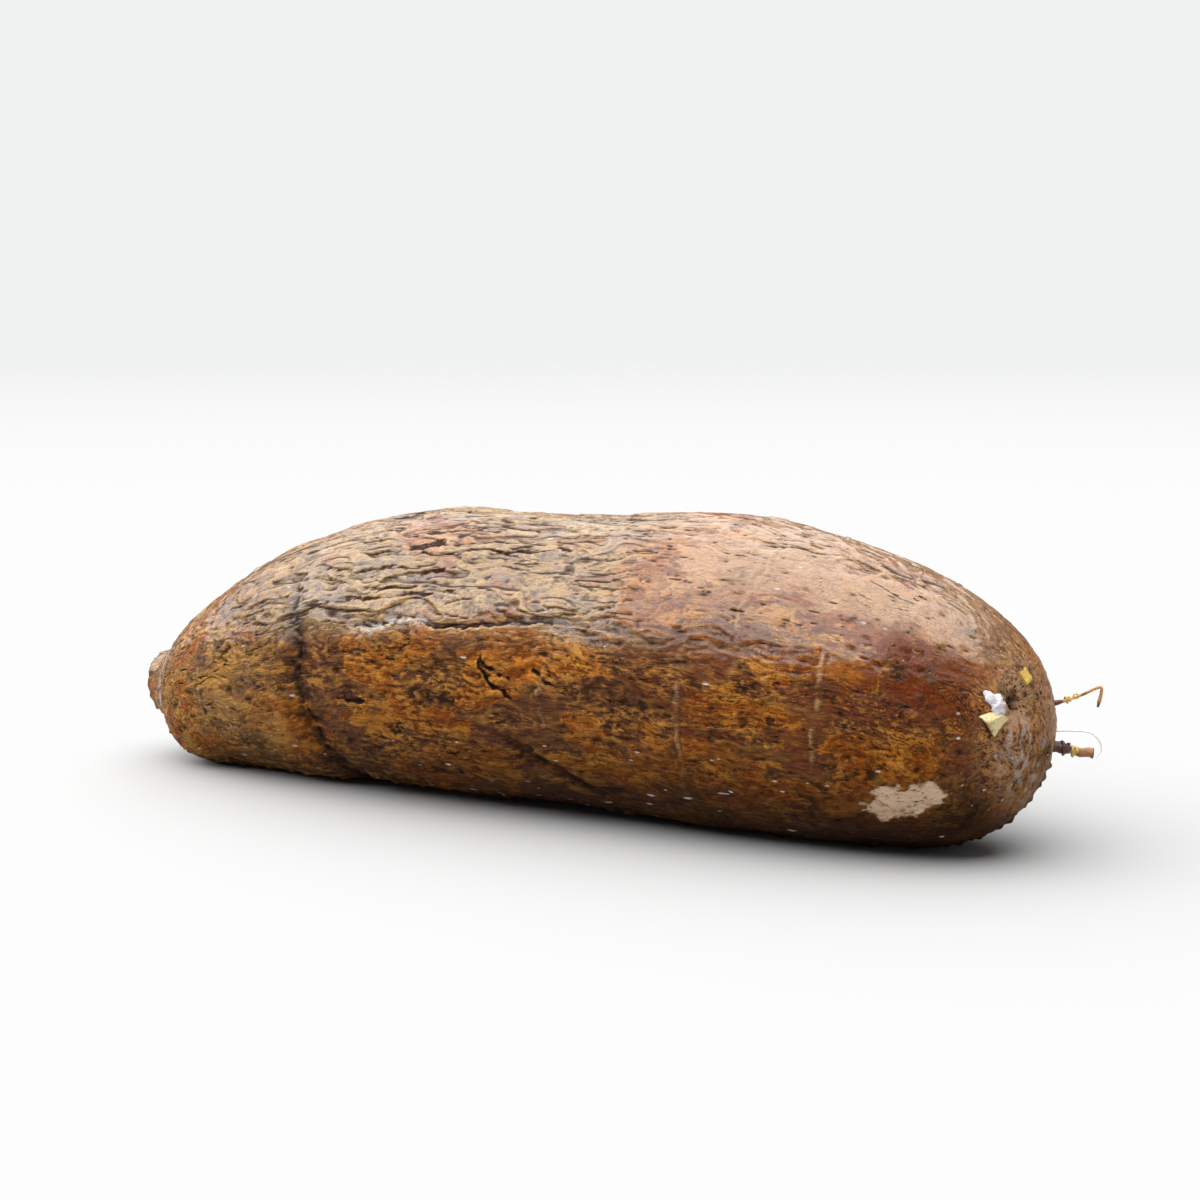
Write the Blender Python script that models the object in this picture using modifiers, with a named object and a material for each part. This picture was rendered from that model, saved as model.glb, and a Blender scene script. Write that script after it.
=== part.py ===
"""A waxed cassava as it is sold: one tuber, lying on its side.

Units are metres and +Z is up. The long axis runs along X, from the cut neck at -X, where the
tuber was sawn from its plant, to the round tip at +X. The tuber stands on the plane z = 0, on
two small worn flats, and the middle of the whole object's box is over the origin.

The tuber itself is one solid. Three dry rootlets still hang on at its tip, and a scale of torn
rind stands up beside a wound there. They are separate pieces with a small clearance to the tuber.
"""

import math

import bmesh
import bpy
from mathutils import Matrix, Vector
from mathutils.bvhtree import BVHTree

# The tuber.
TUBER_LENGTH = 0.239
TUBER_WIDTH = 0.069
TUBER_HEIGHT = 0.070
CAGE_SIDES = 12
SMOOTHING_LEVELS = 2
FLAT_DEPTH = 0.0006
LAYING_STEPS = 4

# The tuber's outline. Each row is a place along the length, from the neck's shoulder at 0 to the
# tip at 1, then the width there as a share of TUBER_WIDTH, the lowest and highest point as
# shares of TUBER_HEIGHT, and the sideways shift as a share of TUBER_WIDTH.
OUTLINE = (
    (0.000, 0.34, 0.13, 0.42, 0.020),
    (0.035, 0.49, 0.05, 0.52, 0.020),
    (0.080, 0.65, 0.01, 0.63, 0.020),
    (0.150, 0.79, 0.00, 0.78, 0.015),
    (0.230, 0.87, 0.00, 0.88, 0.005),
    (0.320, 0.93, 0.01, 0.96, -0.005),
    (0.420, 0.96, 0.02, 0.98, -0.015),
    (0.520, 0.96, 0.02, 0.96, -0.015),
    (0.620, 0.98, 0.01, 1.00, -0.010),
    (0.720, 1.00, 0.00, 1.00, 0.000),
    (0.820, 0.96, 0.00, 0.92, 0.005),
    (0.900, 0.84, 0.01, 0.82, 0.005),
    (0.955, 0.66, 0.08, 0.71, 0.000),
    (0.988, 0.40, 0.21, 0.58, -0.005),
)
TIP_HEIGHT = 0.40

# The cut neck at the -X end.
NECK_DIAMETER = 0.0165
NECK_LENGTH = 0.0050
SAW_ALLOWANCE = 0.0060

# A place on the tip is found by a ray from a point inside it, so far from the tip's end, that
# runs so many degrees round from +X towards +Y, and so many degrees up.
AIM_DISTANCE = 0.030

# The wound in the tip.
WOUND_WIDTH = 0.0080
WOUND_HEIGHT = 0.0110
WOUND_DEPTH = 0.0020
WOUND_SIDES = 20
WOUND_RINGS = 12
WOUND_PLACE = (-21.0, 14.0)

# The scale of rind that stands up at the wound's lower edge: a kite that points down. Its
# corners are shares of its width and height.
SCALE_WIDTH = 0.0064
SCALE_HEIGHT = 0.0050
SCALE_THICKNESS = 0.0008
SCALE_KITE = ((-0.50, 0.30), (0.00, 0.45), (0.50, 0.15), (0.00, -0.55))
SCALE_PLACE = (-36.0, 7.0)

# The rootlets. Each leaves the tip square to it at its place, and follows its bends: steps
# outward, sideways and up, as shares of its reach.
THIN_DIAMETER = 0.0009
THIN_REACH = 0.0085
THIN_PLACE = (24.0, 7.0)
THIN_BENDS = ((0.45, 0.02, 0.08), (0.95, 0.00, 0.24), (1.00, 0.02, 0.08), (0.93, 0.03, -0.26))

STUB_DIAMETER = 0.0024
STUB_REACH = 0.0058
STUB_PLACE = (22.0, -11.0)
STUB_BENDS = ((0.35, 0.00, -0.04), (0.70, 0.02, 0.02), (1.00, 0.03, 0.06))

HAIR_DIAMETER = 0.0005
HAIR_REACH = 0.0098
HAIR_PLACE = (30.0, -6.0)
HAIR_BENDS = (
    (0.30, 0.02, 0.03),
    (0.70, 0.03, 0.03),
    (0.92, 0.02, -0.12),
    (0.98, 0.00, -0.34),
    (0.86, -0.02, -0.52),
)
ROOTLET_BEVEL = 2

# The gap that every piece keeps to the tuber.
CLEARANCE = 0.0003

# Smoothing shrinks a ring of the cage by this factor, so the cage is drawn larger by as much.
RING_SHRINK = (4 + 2 * math.cos(2 * math.pi / CAGE_SIDES)) / 6


def clear_scene():
    for old in list(bpy.data.objects):
        bpy.data.objects.remove(old, do_unlink=True)


def new_collection(name):
    made = bpy.data.collections.new(name)
    bpy.context.scene.collection.children.link(made)
    return made


def new_material(name, color, roughness):
    made = bpy.data.materials.new(name)
    made.use_nodes = True
    shader = made.node_tree.nodes["Principled BSDF"]
    shader.inputs["Base Color"].default_value = (*color, 1.0)
    shader.inputs["Roughness"].default_value = roughness
    shader.inputs["Metallic"].default_value = 0.0
    made.diffuse_color = (*color, 1.0)
    return made


def add_object(name, data, collection, parent, material=None):
    made = bpy.data.objects.new(name, data)
    collection.objects.link(made)
    made.parent = parent
    if material:
        data.materials.append(material)
    return made


def cut(body, cutter):
    cutter.hide_render = True
    cutter.display_type = "WIRE"
    step = body.modifiers.new(cutter.name, "BOOLEAN")
    step.operation = "DIFFERENCE"
    step.solver = "EXACT"
    step.object = cutter


def evaluated_points(obj):
    """The object's points in the world, with its modifiers as they are now."""
    graph = bpy.context.evaluated_depsgraph_get()
    evaluated = obj.evaluated_get(graph)
    mesh = evaluated.to_mesh()
    points = [evaluated.matrix_world @ vertex.co for vertex in mesh.vertices]
    evaluated.to_mesh_clear()
    return points


def cage_rings():
    """Every ring of the cage, from the neck to the tip: x, half width, half height, sideways
    and the height of its middle."""
    neck_half = NECK_DIAMETER / 2 / RING_SHRINK
    neck_sideways = OUTLINE[0][4] * TUBER_WIDTH
    neck_middle = (OUTLINE[0][2] + OUTLINE[0][3]) / 2 * TUBER_HEIGHT
    rings = [
        (-SAW_ALLOWANCE / 2, neck_half, neck_half, neck_sideways, neck_middle),
        (NECK_LENGTH, neck_half, neck_half, neck_sideways, neck_middle),
    ]
    for along, width, low, high, sideways in OUTLINE:
        x = NECK_LENGTH + along * (TUBER_LENGTH - NECK_LENGTH)
        half_width = width * TUBER_WIDTH / 2 / RING_SHRINK
        half_height = (high - low) * TUBER_HEIGHT / 2 / RING_SHRINK
        middle = (high + low) / 2 * TUBER_HEIGHT
        rings.append((x, half_width, half_height, sideways * TUBER_WIDTH, middle))
    return rings


def make_tuber(collection, parent, material):
    """A ball of rings, drawn out along X to the outline and smoothed."""
    rings = cage_rings()
    ball = bmesh.new()
    bmesh.ops.create_uvsphere(ball, u_segments=CAGE_SIDES, v_segments=len(rings) + 1, radius=1.0)
    on_its_side = Matrix.Rotation(math.radians(90), 3, "Y")
    bmesh.ops.rotate(ball, verts=ball.verts, matrix=on_its_side)
    in_order = sorted(ball.verts, key=lambda point: point.co.x)
    neck_end = in_order[0]
    tip_end = in_order[-1]
    for number, (x, half_width, half_height, sideways, middle) in enumerate(rings):
        first = 1 + number * CAGE_SIDES
        for point in in_order[first:first + CAGE_SIDES]:
            turn = math.atan2(point.co.z, point.co.y)
            y = sideways + half_width * math.cos(turn)
            z = middle + half_height * math.sin(turn)
            point.co = (x, y, z)
    neck_end.co = (-SAW_ALLOWANCE, rings[0][3], rings[0][4])
    tip_end.co = (TUBER_LENGTH, rings[-1][3], TIP_HEIGHT * TUBER_HEIGHT)
    bmesh.ops.recalc_face_normals(ball, faces=ball.faces)
    mesh = bpy.data.meshes.new("tuber")
    ball.to_mesh(mesh)
    ball.free()
    mesh.shade_smooth()
    tuber = add_object("tuber", mesh, collection, parent, material)
    smooth = tuber.modifiers.new("smooth", "SUBSURF")
    smooth.levels = SMOOTHING_LEVELS
    smooth.render_levels = SMOOTHING_LEVELS
    return tuber


def lay_down(tuber):
    """Tilts the tuber until its two halves reach equally low, and sinks it by FLAT_DEPTH."""
    for _ in range(LAYING_STEPS):
        points = evaluated_points(tuber)
        neck_half = [point for point in points if point.x < TUBER_LENGTH / 2]
        tip_half = [point for point in points if point.x >= TUBER_LENGTH / 2]
        neck_low = min(neck_half, key=lambda point: point.z)
        tip_low = min(tip_half, key=lambda point: point.z)
        tilt = math.atan2(tip_low.z - neck_low.z, tip_low.x - neck_low.x)
        tuber.data.transform(Matrix.Rotation(tilt, 4, "Y"))
    lowest = min(point.z for point in evaluated_points(tuber))
    tuber.data.transform(Matrix.Translation((0, 0, -lowest - FLAT_DEPTH)))


def add_cutter(name, ball, collection, parent):
    """A hidden solid to cut with, from a bmesh."""
    mesh = bpy.data.meshes.new(name)
    ball.to_mesh(mesh)
    ball.free()
    return add_object(name, mesh, collection, parent)


def cut_flats(tuber, collection, parent):
    """The two worn flats that the tuber stands on: what is below z = 0 goes."""
    size = 2 * TUBER_LENGTH
    block = bmesh.new()
    bmesh.ops.create_cube(block, size=size)
    cutter = add_cutter("floor_cut", block, collection, parent)
    cutter.location = (TUBER_LENGTH / 2, 0, -size / 2)
    cut(tuber, cutter)


def cut_neck(tuber, collection, parent):
    """The saw cut across the neck, at x = 0 until the whole is centred."""
    size = 2 * TUBER_HEIGHT
    block = bmesh.new()
    bmesh.ops.create_cube(block, size=size)
    cutter = add_cutter("neck_cut", block, collection, parent)
    cutter.location = (-size / 2, 0, TUBER_HEIGHT / 2)
    cut(tuber, cutter)


def place_on_tip(surface, place):
    """The point and the outward normal where a ray from inside leaves the tip."""
    azimuth, rise = (math.radians(angle) for angle in place)
    level = math.cos(rise)
    aim = Vector((level * math.cos(azimuth), level * math.sin(azimuth), math.sin(rise)))
    inside = Vector((TUBER_LENGTH - AIM_DISTANCE, 0, TIP_HEIGHT * TUBER_HEIGHT))
    point, normal, _, _ = surface.ray_cast(inside, aim)
    return point, normal


def surface_frame(point, normal):
    """A frame on the surface: X level along it, Y up along it, Z out of it."""
    level = Vector((0, 0, 1)).cross(normal).normalized()
    up = normal.cross(level)
    turned = Matrix((level, up, normal)).transposed().to_4x4()
    return Matrix.Translation(point) @ turned


def cut_wound(tuber, surface, collection, parent):
    """The wound: a shallow oval scoop out of the rind."""
    point, normal = place_on_tip(surface, WOUND_PLACE)
    ball = bmesh.new()
    bmesh.ops.create_uvsphere(ball, u_segments=WOUND_SIDES, v_segments=WOUND_RINGS, radius=1.0)
    radii = (WOUND_WIDTH / 2, WOUND_HEIGHT / 2, WOUND_DEPTH)
    bmesh.ops.scale(ball, verts=ball.verts, vec=radii)
    cutter = add_cutter("wound_cut", ball, collection, parent)
    cutter.matrix_local = surface_frame(point, normal)
    cut(tuber, cutter)


def make_scale(surface, collection, parent, material):
    """The scale of rind: a kite cut from a flat sheet, standing just off the surface."""
    outline = [(SCALE_WIDTH * level, SCALE_HEIGHT * up) for level, up in SCALE_KITE]
    curve = bpy.data.curves.new("torn_rind", "CURVE")
    curve.dimensions = "2D"
    curve.fill_mode = "BOTH"
    curve.extrude = SCALE_THICKNESS / 2
    edge = curve.splines.new("POLY")
    edge.points.add(len(outline) - 1)
    edge.use_cyclic_u = True
    for corner, (level, up) in zip(edge.points, outline):
        corner.co = (level, up, 0, 1)
    scale = add_object("torn_rind", curve, collection, parent, material)
    point, normal = place_on_tip(surface, SCALE_PLACE)
    lift = CLEARANCE + SCALE_THICKNESS / 2
    scale.matrix_local = surface_frame(point + normal * lift, normal)
    return scale


def rootlet_path(surface, place, diameter, reach, bends):
    """A rootlet's points: straight out of the rind for one diameter, then its bends."""
    point, normal = place_on_tip(surface, place)
    sideways = Vector((0, 0, 1)).cross(normal).normalized()
    start = point + normal * CLEARANCE
    path = [start, start + normal * diameter]
    for outward, aside, up in bends:
        step = normal * outward + sideways * aside + Vector((0, 0, up))
        path.append(path[1] + step * reach)
    return path


def make_rootlet(name, path, diameter, collection, parent, material):
    """A rootlet: a round wire along its points, closed at both ends."""
    curve = bpy.data.curves.new(name, "CURVE")
    curve.dimensions = "3D"
    curve.bevel_depth = diameter / 2
    curve.bevel_resolution = ROOTLET_BEVEL
    curve.use_fill_caps = True
    line = curve.splines.new("POLY")
    line.points.add(len(path) - 1)
    for corner, spot in zip(line.points, path):
        corner.co = (*spot, 1)
    return add_object(name, curve, collection, parent, material)


def centre_whole(pieces, frame):
    """Moves everything so that the middle of the whole box is over the origin."""
    bpy.context.view_layer.update()
    points = [point for piece in pieces for point in evaluated_points(piece)]
    middle_x = (min(point.x for point in points) + max(point.x for point in points)) / 2
    middle_y = (min(point.y for point in points) + max(point.y for point in points)) / 2
    frame.location = (-middle_x, -middle_y, 0)


def main():
    clear_scene()
    parts = new_collection("cassava")
    cutters = new_collection("cutters")
    frame = add_object("cassava_frame", None, parts, None)

    skin = new_material("waxed_skin", (0.23, 0.12, 0.05), 0.32)
    flesh = new_material("torn_flesh", (0.72, 0.60, 0.33), 0.55)
    dry_root = new_material("dry_rootlet", (0.50, 0.30, 0.12), 0.55)
    thick_root = new_material("thick_rootlet", (0.36, 0.17, 0.07), 0.50)
    pale_hair = new_material("pale_hair", (0.75, 0.70, 0.60), 0.60)

    tuber = make_tuber(parts, frame, skin)
    lay_down(tuber)
    cut_neck(tuber, cutters, frame)
    cut_flats(tuber, cutters, frame)
    surface = BVHTree.FromObject(tuber, bpy.context.evaluated_depsgraph_get())
    cut_wound(tuber, surface, cutters, frame)

    pieces = [tuber, make_scale(surface, parts, frame, flesh)]
    rootlets = (
        ("rootlet_thin", THIN_PLACE, THIN_DIAMETER, THIN_REACH, THIN_BENDS, dry_root),
        ("rootlet_stub", STUB_PLACE, STUB_DIAMETER, STUB_REACH, STUB_BENDS, thick_root),
        ("rootlet_hair", HAIR_PLACE, HAIR_DIAMETER, HAIR_REACH, HAIR_BENDS, pale_hair),
    )
    for name, place, diameter, reach, bends, material in rootlets:
        path = rootlet_path(surface, place, diameter, reach, bends)
        pieces.append(make_rootlet(name, path, diameter, parts, frame, material))
    centre_whole(pieces, frame)


main()
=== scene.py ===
# %% [markdown]
# # A waxed cassava root
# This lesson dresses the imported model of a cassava: a starchy root, 24 cm long, sold with a coat of
# food wax over its bark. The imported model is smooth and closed, which suits physics. Here it becomes
# the frame that a finely carved skin is laid over, and everything else takes its place from it.

# %% Load the frame
import itertools
import math

import bpy
import numpy as np
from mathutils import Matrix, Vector
from mathutils.bvhtree import BVHTree


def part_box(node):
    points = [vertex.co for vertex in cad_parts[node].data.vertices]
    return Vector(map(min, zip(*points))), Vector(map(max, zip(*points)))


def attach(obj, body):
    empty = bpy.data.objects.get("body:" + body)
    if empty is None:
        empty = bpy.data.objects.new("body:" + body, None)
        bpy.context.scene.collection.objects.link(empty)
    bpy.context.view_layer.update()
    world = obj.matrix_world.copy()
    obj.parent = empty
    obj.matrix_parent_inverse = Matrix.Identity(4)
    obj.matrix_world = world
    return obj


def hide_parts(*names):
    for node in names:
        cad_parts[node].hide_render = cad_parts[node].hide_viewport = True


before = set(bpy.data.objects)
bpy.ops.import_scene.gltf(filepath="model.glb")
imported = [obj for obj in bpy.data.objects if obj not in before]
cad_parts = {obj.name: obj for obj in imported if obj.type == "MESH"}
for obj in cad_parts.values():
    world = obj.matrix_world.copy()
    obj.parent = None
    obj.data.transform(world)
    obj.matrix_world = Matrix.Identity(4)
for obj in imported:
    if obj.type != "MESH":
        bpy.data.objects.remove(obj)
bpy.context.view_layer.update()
MM = 0.001

# %% [markdown]
# ## The camera
# A long lens a good half metre away keeps the root's proportions honest. The camera stands a little
# towards the growing tip and just above the table, and looks at a point over the middle of the root.

# %% Camera
CAMERA_AZIMUTH = math.radians(30)
CAMERA_RISE = math.radians(7.5)
CAMERA_DISTANCE = 0.535
CAMERA_LENS = 70
LOOK_AT = Vector((0.0085, 0, 0.0480))


def stand_camera():
    """The camera, on its arc round the root."""
    level = math.cos(CAMERA_RISE)
    back = Vector(
        (
            level * math.sin(CAMERA_AZIMUTH),
            -level * math.cos(CAMERA_AZIMUTH),
            math.sin(CAMERA_RISE),
        )
    )
    camera = bpy.data.objects.new("camera", bpy.data.cameras.new("camera"))
    camera.data.lens = CAMERA_LENS
    camera.data.clip_start = 0.01
    camera.location = LOOK_AT + back * CAMERA_DISTANCE
    camera.rotation_euler = back.to_track_quat("Z", "Y").to_euler()
    bpy.context.scene.collection.objects.link(camera)
    bpy.context.scene.camera = camera
    return camera


print("camera at", tuple(round(c, 3) for c in stand_camera().location))

# %% [markdown]
# ## A wire that does sums
# Shader trees are easier to read as sums than as boxes. A `Wire` wraps one output socket, and each
# operator adds the Math node that does its work. The reflected forms let a number come first, as in
# `1 - crack`. Colours never go through these, because a Math node would turn them grey.

# %% Wire and Finish


class Wire:
    """An output socket that can be used in plain sums."""

    def __init__(self, finish, socket):
        self.finish = finish
        self.socket = socket

    def sum(self, operation, first, second):
        return self.finish.add("ShaderNodeMath", {"operation": operation}, {0: first, 1: second})

    def __add__(self, other):
        return self.sum("ADD", self, other)

    def __radd__(self, other):
        return self.sum("ADD", other, self)

    def __sub__(self, other):
        return self.sum("SUBTRACT", self, other)

    def __rsub__(self, other):
        return self.sum("SUBTRACT", other, self)

    def __mul__(self, other):
        return self.sum("MULTIPLY", self, other)

    def __rmul__(self, other):
        return self.sum("MULTIPLY", other, self)

    def __pow__(self, other):
        return self.sum("POWER", self, other)

    def most(self, other):
        return self.sum("MAXIMUM", self, other)


class Finish:
    """A node tree under construction, for a material or for the world."""

    def __init__(self, owner):
        owner.use_nodes = True
        self.owner = owner
        self.tree = owner.node_tree
        self.tree.nodes.clear()

    def add(self, kind, settings=None, sockets=None, output=0):
        """One node: its settings first, then the value or wire of each socket."""
        node = self.tree.nodes.new(kind)
        for name, value in (settings or {}).items():
            setattr(node, name, value)
        for name, value in (sockets or {}).items():
            if isinstance(value, Wire):
                self.tree.links.new(value.socket, node.inputs[name])
            else:
                node.inputs[name].default_value = value
        return Wire(self, node.outputs[output]) if node.outputs else node

    def attribute(self, name, output="Fac"):
        """What the skin's own mesh carries under that name."""
        return self.add("ShaderNodeAttribute", {"attribute_name": name}, output=output)

    def rise(self, wire, low, high):
        """0 below low and 1 above high, with a smooth step between."""
        return self.add(
            "ShaderNodeMapRange",
            {"interpolation_type": "SMOOTHSTEP"},
            {"Value": wire, "From Min": low, "From Max": high},
        )

    def noise(self, place, length, width, seed, detail=2.0, roughness=0.5):
        """Noise whose blobs are length along the root and width round it."""
        scaled = self.add(
            "ShaderNodeVectorMath",
            {"operation": "MULTIPLY_ADD"},
            {0: place, 1: (1 / length, 1 / width, 1 / width), 2: (seed * 7.3, seed * 3.1, seed * 5.7)},
        )
        return self.add(
            "ShaderNodeTexNoise",
            sockets={"Vector": scaled, "Scale": 1.0, "Detail": detail, "Roughness": roughness},
        )

    def torn(self, wire, count):
        """The wire cut into count levels: a slow rise and a sudden drop, over and over."""
        return self.add("ShaderNodeMath", {"operation": "FRACT"}, {0: wire * count})

    def chips(self, place, length, width, seed):
        """A random level for each of many ragged chips, length by width."""
        scaled = self.add(
            "ShaderNodeVectorMath",
            {"operation": "MULTIPLY_ADD"},
            {0: place, 1: (1 / length, 1 / width, 1 / width), 2: (seed * 4.7, seed * 6.1, seed * 2.9)},
        )
        ragged = self.add(
            "ShaderNodeTexNoise", sockets={"Vector": scaled, "Scale": 2.2, "Detail": 2.0}, output="Color"
        )
        moved = self.add(
            "ShaderNodeVectorMath", {"operation": "MULTIPLY_ADD"}, {0: ragged, 1: (1.1, 1.1, 1.1), 2: scaled}
        )
        cells = self.add("ShaderNodeTexVoronoi", sockets={"Vector": moved, "Scale": 1.0}, output="Color")
        return self.add("ShaderNodeSeparateColor", sockets={"Color": cells}, output="Red")

    def blend(self, share, first, second, way="MIX"):
        """Colour first where share is 0, and colour second where it is 1."""
        node = self.tree.nodes.new("ShaderNodeMix")
        node.data_type = "RGBA"
        node.blend_type = way
        for socket, value in ((node.inputs[0], share), (node.inputs[6], first), (node.inputs[7], second)):
            if isinstance(value, Wire):
                self.tree.links.new(value.socket, socket)
            elif isinstance(value, (int, float)):
                socket.default_value = value
            else:
                socket.default_value = (*value, 1)
        return Wire(self, node.outputs[2])

    def bump(self, height, strength, distance):
        """A normal tilted by the height, given in metres by distance."""
        return self.add(
            "ShaderNodeBump",
            sockets={"Strength": strength, "Distance": distance, "Height": height},
        )

    def surface(self, **sockets):
        """The Principled shader and the output."""
        named = {name.replace("_", " "): value for name, value in sockets.items()}
        shader = self.add("ShaderNodeBsdfPrincipled", sockets=named)
        self.add("ShaderNodeOutputMaterial", sockets={"Surface": shader})
        return self.owner


def paint(red, green, blue):
    """The linear colour of an everyday 0 to 255 one."""
    shares = (level / 255 for level in (red, green, blue))
    return tuple(s / 12.92 if s <= 0.04045 else ((s + 0.055) / 1.055) ** 2.4 for s in shares)


# %% [markdown]
# ## The studio
# The root lies on a pale table under one big soft light. A real studio would hang a cloth overhead:
# here the world itself is the cloth, bright above a sharp lower edge and dim near the horizon. That
# edge is what draws the line between the pale sheen on the wax and the deep brown below it.

# %% Studio
CLOTH_EDGE = (0.55, 0.62)
CLOTH_TILT = 0.37
CLOTH_FRONT, CLOTH_BACK = 4.6, 2.8
NEAR_HORIZON, RIGHT_WALL = 0.15, 0.40
BACKDROP = paint(240, 241, 241)
FLOOR_GREY = 0.40
FLOOR_RADIUS = 4.0
FLOOR_FADE = (0.3, 3.8)


def light_studio():
    """The world as a soft light cloth that the camera sees as a plain backdrop."""
    world = bpy.data.worlds.new("studio")
    bpy.context.scene.world = world
    sky = Finish(world)
    direction = sky.add("ShaderNodeTexCoord", output="Generated")
    parts = sky.add("ShaderNodeSeparateXYZ", sockets={"Vector": direction}, output="Z")
    depth = Wire(sky, parts.socket.node.outputs["Y"])
    aside = Wire(sky, parts.socket.node.outputs["X"])
    above = sky.rise(parts - aside * CLOTH_TILT, *CLOTH_EDGE)
    front = sky.rise(depth, 0.35, -0.45)
    room = NEAR_HORIZON + sky.rise(aside, 0.3, 0.9) * (RIGHT_WALL - NEAR_HORIZON)
    cloth_level = CLOTH_BACK + front * (CLOTH_FRONT - CLOTH_BACK)
    level = room * (1 - above) + cloth_level * above
    seen = sky.add("ShaderNodeLightPath", output="Is Camera Ray")
    cloth = sky.add("ShaderNodeBackground", sockets={"Color": (1, 1, 1, 1), "Strength": level})
    backdrop = sky.add("ShaderNodeBackground", sockets={"Color": (*BACKDROP, 1)})
    both = sky.add("ShaderNodeMixShader", sockets={0: seen, 1: cloth, 2: backdrop})
    sky.add("ShaderNodeOutputWorld", sockets={"Surface": both})
    bpy.context.scene.view_settings.view_transform = "Standard"


def lay_floor():
    """A round table top that fades into the backdrop."""
    rings, spokes = 24, 96
    radii = FLOOR_RADIUS * (np.arange(1, rings + 1) / rings) ** 2
    turns = np.arange(spokes) * 2 * math.pi / spokes
    points = [(0, 0, 0)]
    points += [(r * math.cos(t), r * math.sin(t), 0) for r in radii for t in turns]
    faces = [(0, 1 + s, 1 + (s + 1) % spokes) for s in range(spokes)]
    for ring, s in itertools.product(range(rings - 1), range(spokes)):
        inner, outer = 1 + ring * spokes, 1 + (ring + 1) * spokes
        faces.append((inner + s, outer + s, outer + (s + 1) % spokes, inner + (s + 1) % spokes))
    mesh = bpy.data.meshes.new("table_top")
    mesh.from_pydata(points, [], faces)
    floor = bpy.data.objects.new("table_top", mesh)
    bpy.context.scene.collection.objects.link(floor)
    card = Finish(bpy.data.materials.new("white_card"))
    place = card.add("ShaderNodeTexCoord", output="Object")
    distance = card.add("ShaderNodeVectorMath", {"operation": "LENGTH"}, {0: place}, "Value")
    fade = card.rise(distance, *FLOOR_FADE)
    plain = card.add(
        "ShaderNodeBsdfDiffuse", sockets={"Color": (FLOOR_GREY, FLOOR_GREY, FLOOR_GREY, 1)}
    )
    clear = card.add("ShaderNodeBsdfTransparent")
    both = card.add("ShaderNodeMixShader", sockets={0: fade, 1: plain, 2: clear})
    card.add("ShaderNodeOutputMaterial", sockets={"Surface": both})
    mesh.materials.append(card.owner)
    return floor


light_studio()
lay_floor()
print("studio: cloth of", CLOTH_FRONT, "in front and", CLOTH_BACK, "behind")

# %% [markdown]
# ## The skin as a net of rays
# The bark is one closed skin, so it is made as one net. Rays leave a line through the middle of the
# root, tilt over at both ends, and stop where they meet the frame. Rows are spaced evenly along the
# root and columns evenly round it, and the small flats of the frame are ironed out.

# %% Cast the net
ROWS, COLUMNS = 760, 600
END_REACH = (22.0, 28.0)
IRON = 2.4
NECK_KEEP = (7.0, 16.0)
NEAR = 5.0

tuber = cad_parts["tuber"]
corners = np.array([v.co / MM for v in tuber.data.vertices])
shell = BVHTree.FromPolygons(corners.tolist(), [tuple(p.vertices) for p in tuber.data.polygons])
box_low, box_high = (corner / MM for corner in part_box("tuber"))


def smooth_step(value, low, high):
    """0 at low, 1 at high, smooth between them. low may be above high."""
    share = np.clip((value - low) / (high - low), 0, 1)
    return share * share * (3 - 2 * share)


def reach(origin, aim):
    """How far a ray from inside goes before it leaves the frame, in mm."""
    return shell.ray_cast(Vector(origin), Vector(aim))[3]


def middle_at(along):
    """The middle of the frame's section at that distance along, as (y, z)."""
    near = corners[np.abs(corners[:, 0] - along) < NEAR]
    across, up = (near.max(0) + near.min(0))[1:] / 2
    for _ in range(2):
        up += (reach((along, across, up), (0, 0, 1)) - reach((along, across, up), (0, 0, -1))) / 2
        across += (reach((along, across, up), (0, 1, 0)) - reach((along, across, up), (0, -1, 0))) / 2
    return across, up


stations = np.linspace(box_low.x + 3, box_high.x - 3, 120)
middles = np.array([middle_at(x) for x in stations])
MIDDLE_CURVE = 5
fits = [np.polynomial.Polynomial.fit(stations, middles[:, axis], MIDDLE_CURVE) for axis in (0, 1)]


def rays(travel, turns):
    """Origins and aims of the rays at travel from 0 to 1, at those angles round the root."""
    first, last = box_low.x + END_REACH[0], box_high.x - END_REACH[1]
    start, end = 0.10, 0.90
    tilt = (np.clip(travel / start, 0, 1) - 1 + np.clip((travel - end) / (1 - end), 0, 1)) * math.pi / 2
    along = first + (last - first) * np.clip((travel - start) / (end - start), 0, 1)
    origins = np.stack([along, fits[0](along), fits[1](along)], 1)
    aims = np.stack(
        [
            np.sin(tilt)[:, None] + 0 * turns,
            -np.cos(tilt)[:, None] * np.cos(turns),
            np.cos(tilt)[:, None] * np.sin(turns),
        ],
        2,
    )
    return origins, aims


def cast(travel, turns):
    """Where those rays leave the frame, as distances along them."""
    origins, aims = rays(travel, turns)
    lengths = np.array(
        [[reach(origin, aim) for aim in row] for origin, row in zip(origins, aims)], dtype=float
    )
    return origins, aims, lengths


def even_rows(count):
    """Travels that space the rows evenly over the skin, pole to pole."""
    travel = np.linspace(0.0005, 0.9995, 500)
    origins, aims, lengths = cast(travel, np.linspace(0, 2 * math.pi, 8, endpoint=False))
    spots = origins[:, None] + aims * lengths[..., None]
    steps = np.linalg.norm(np.diff(spots, axis=0), axis=2).mean(1)
    run = np.concatenate([[0], np.cumsum(steps)])
    wanted = np.linspace(0, run[-1], count)
    return np.interp(wanted, run, travel), wanted


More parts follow.
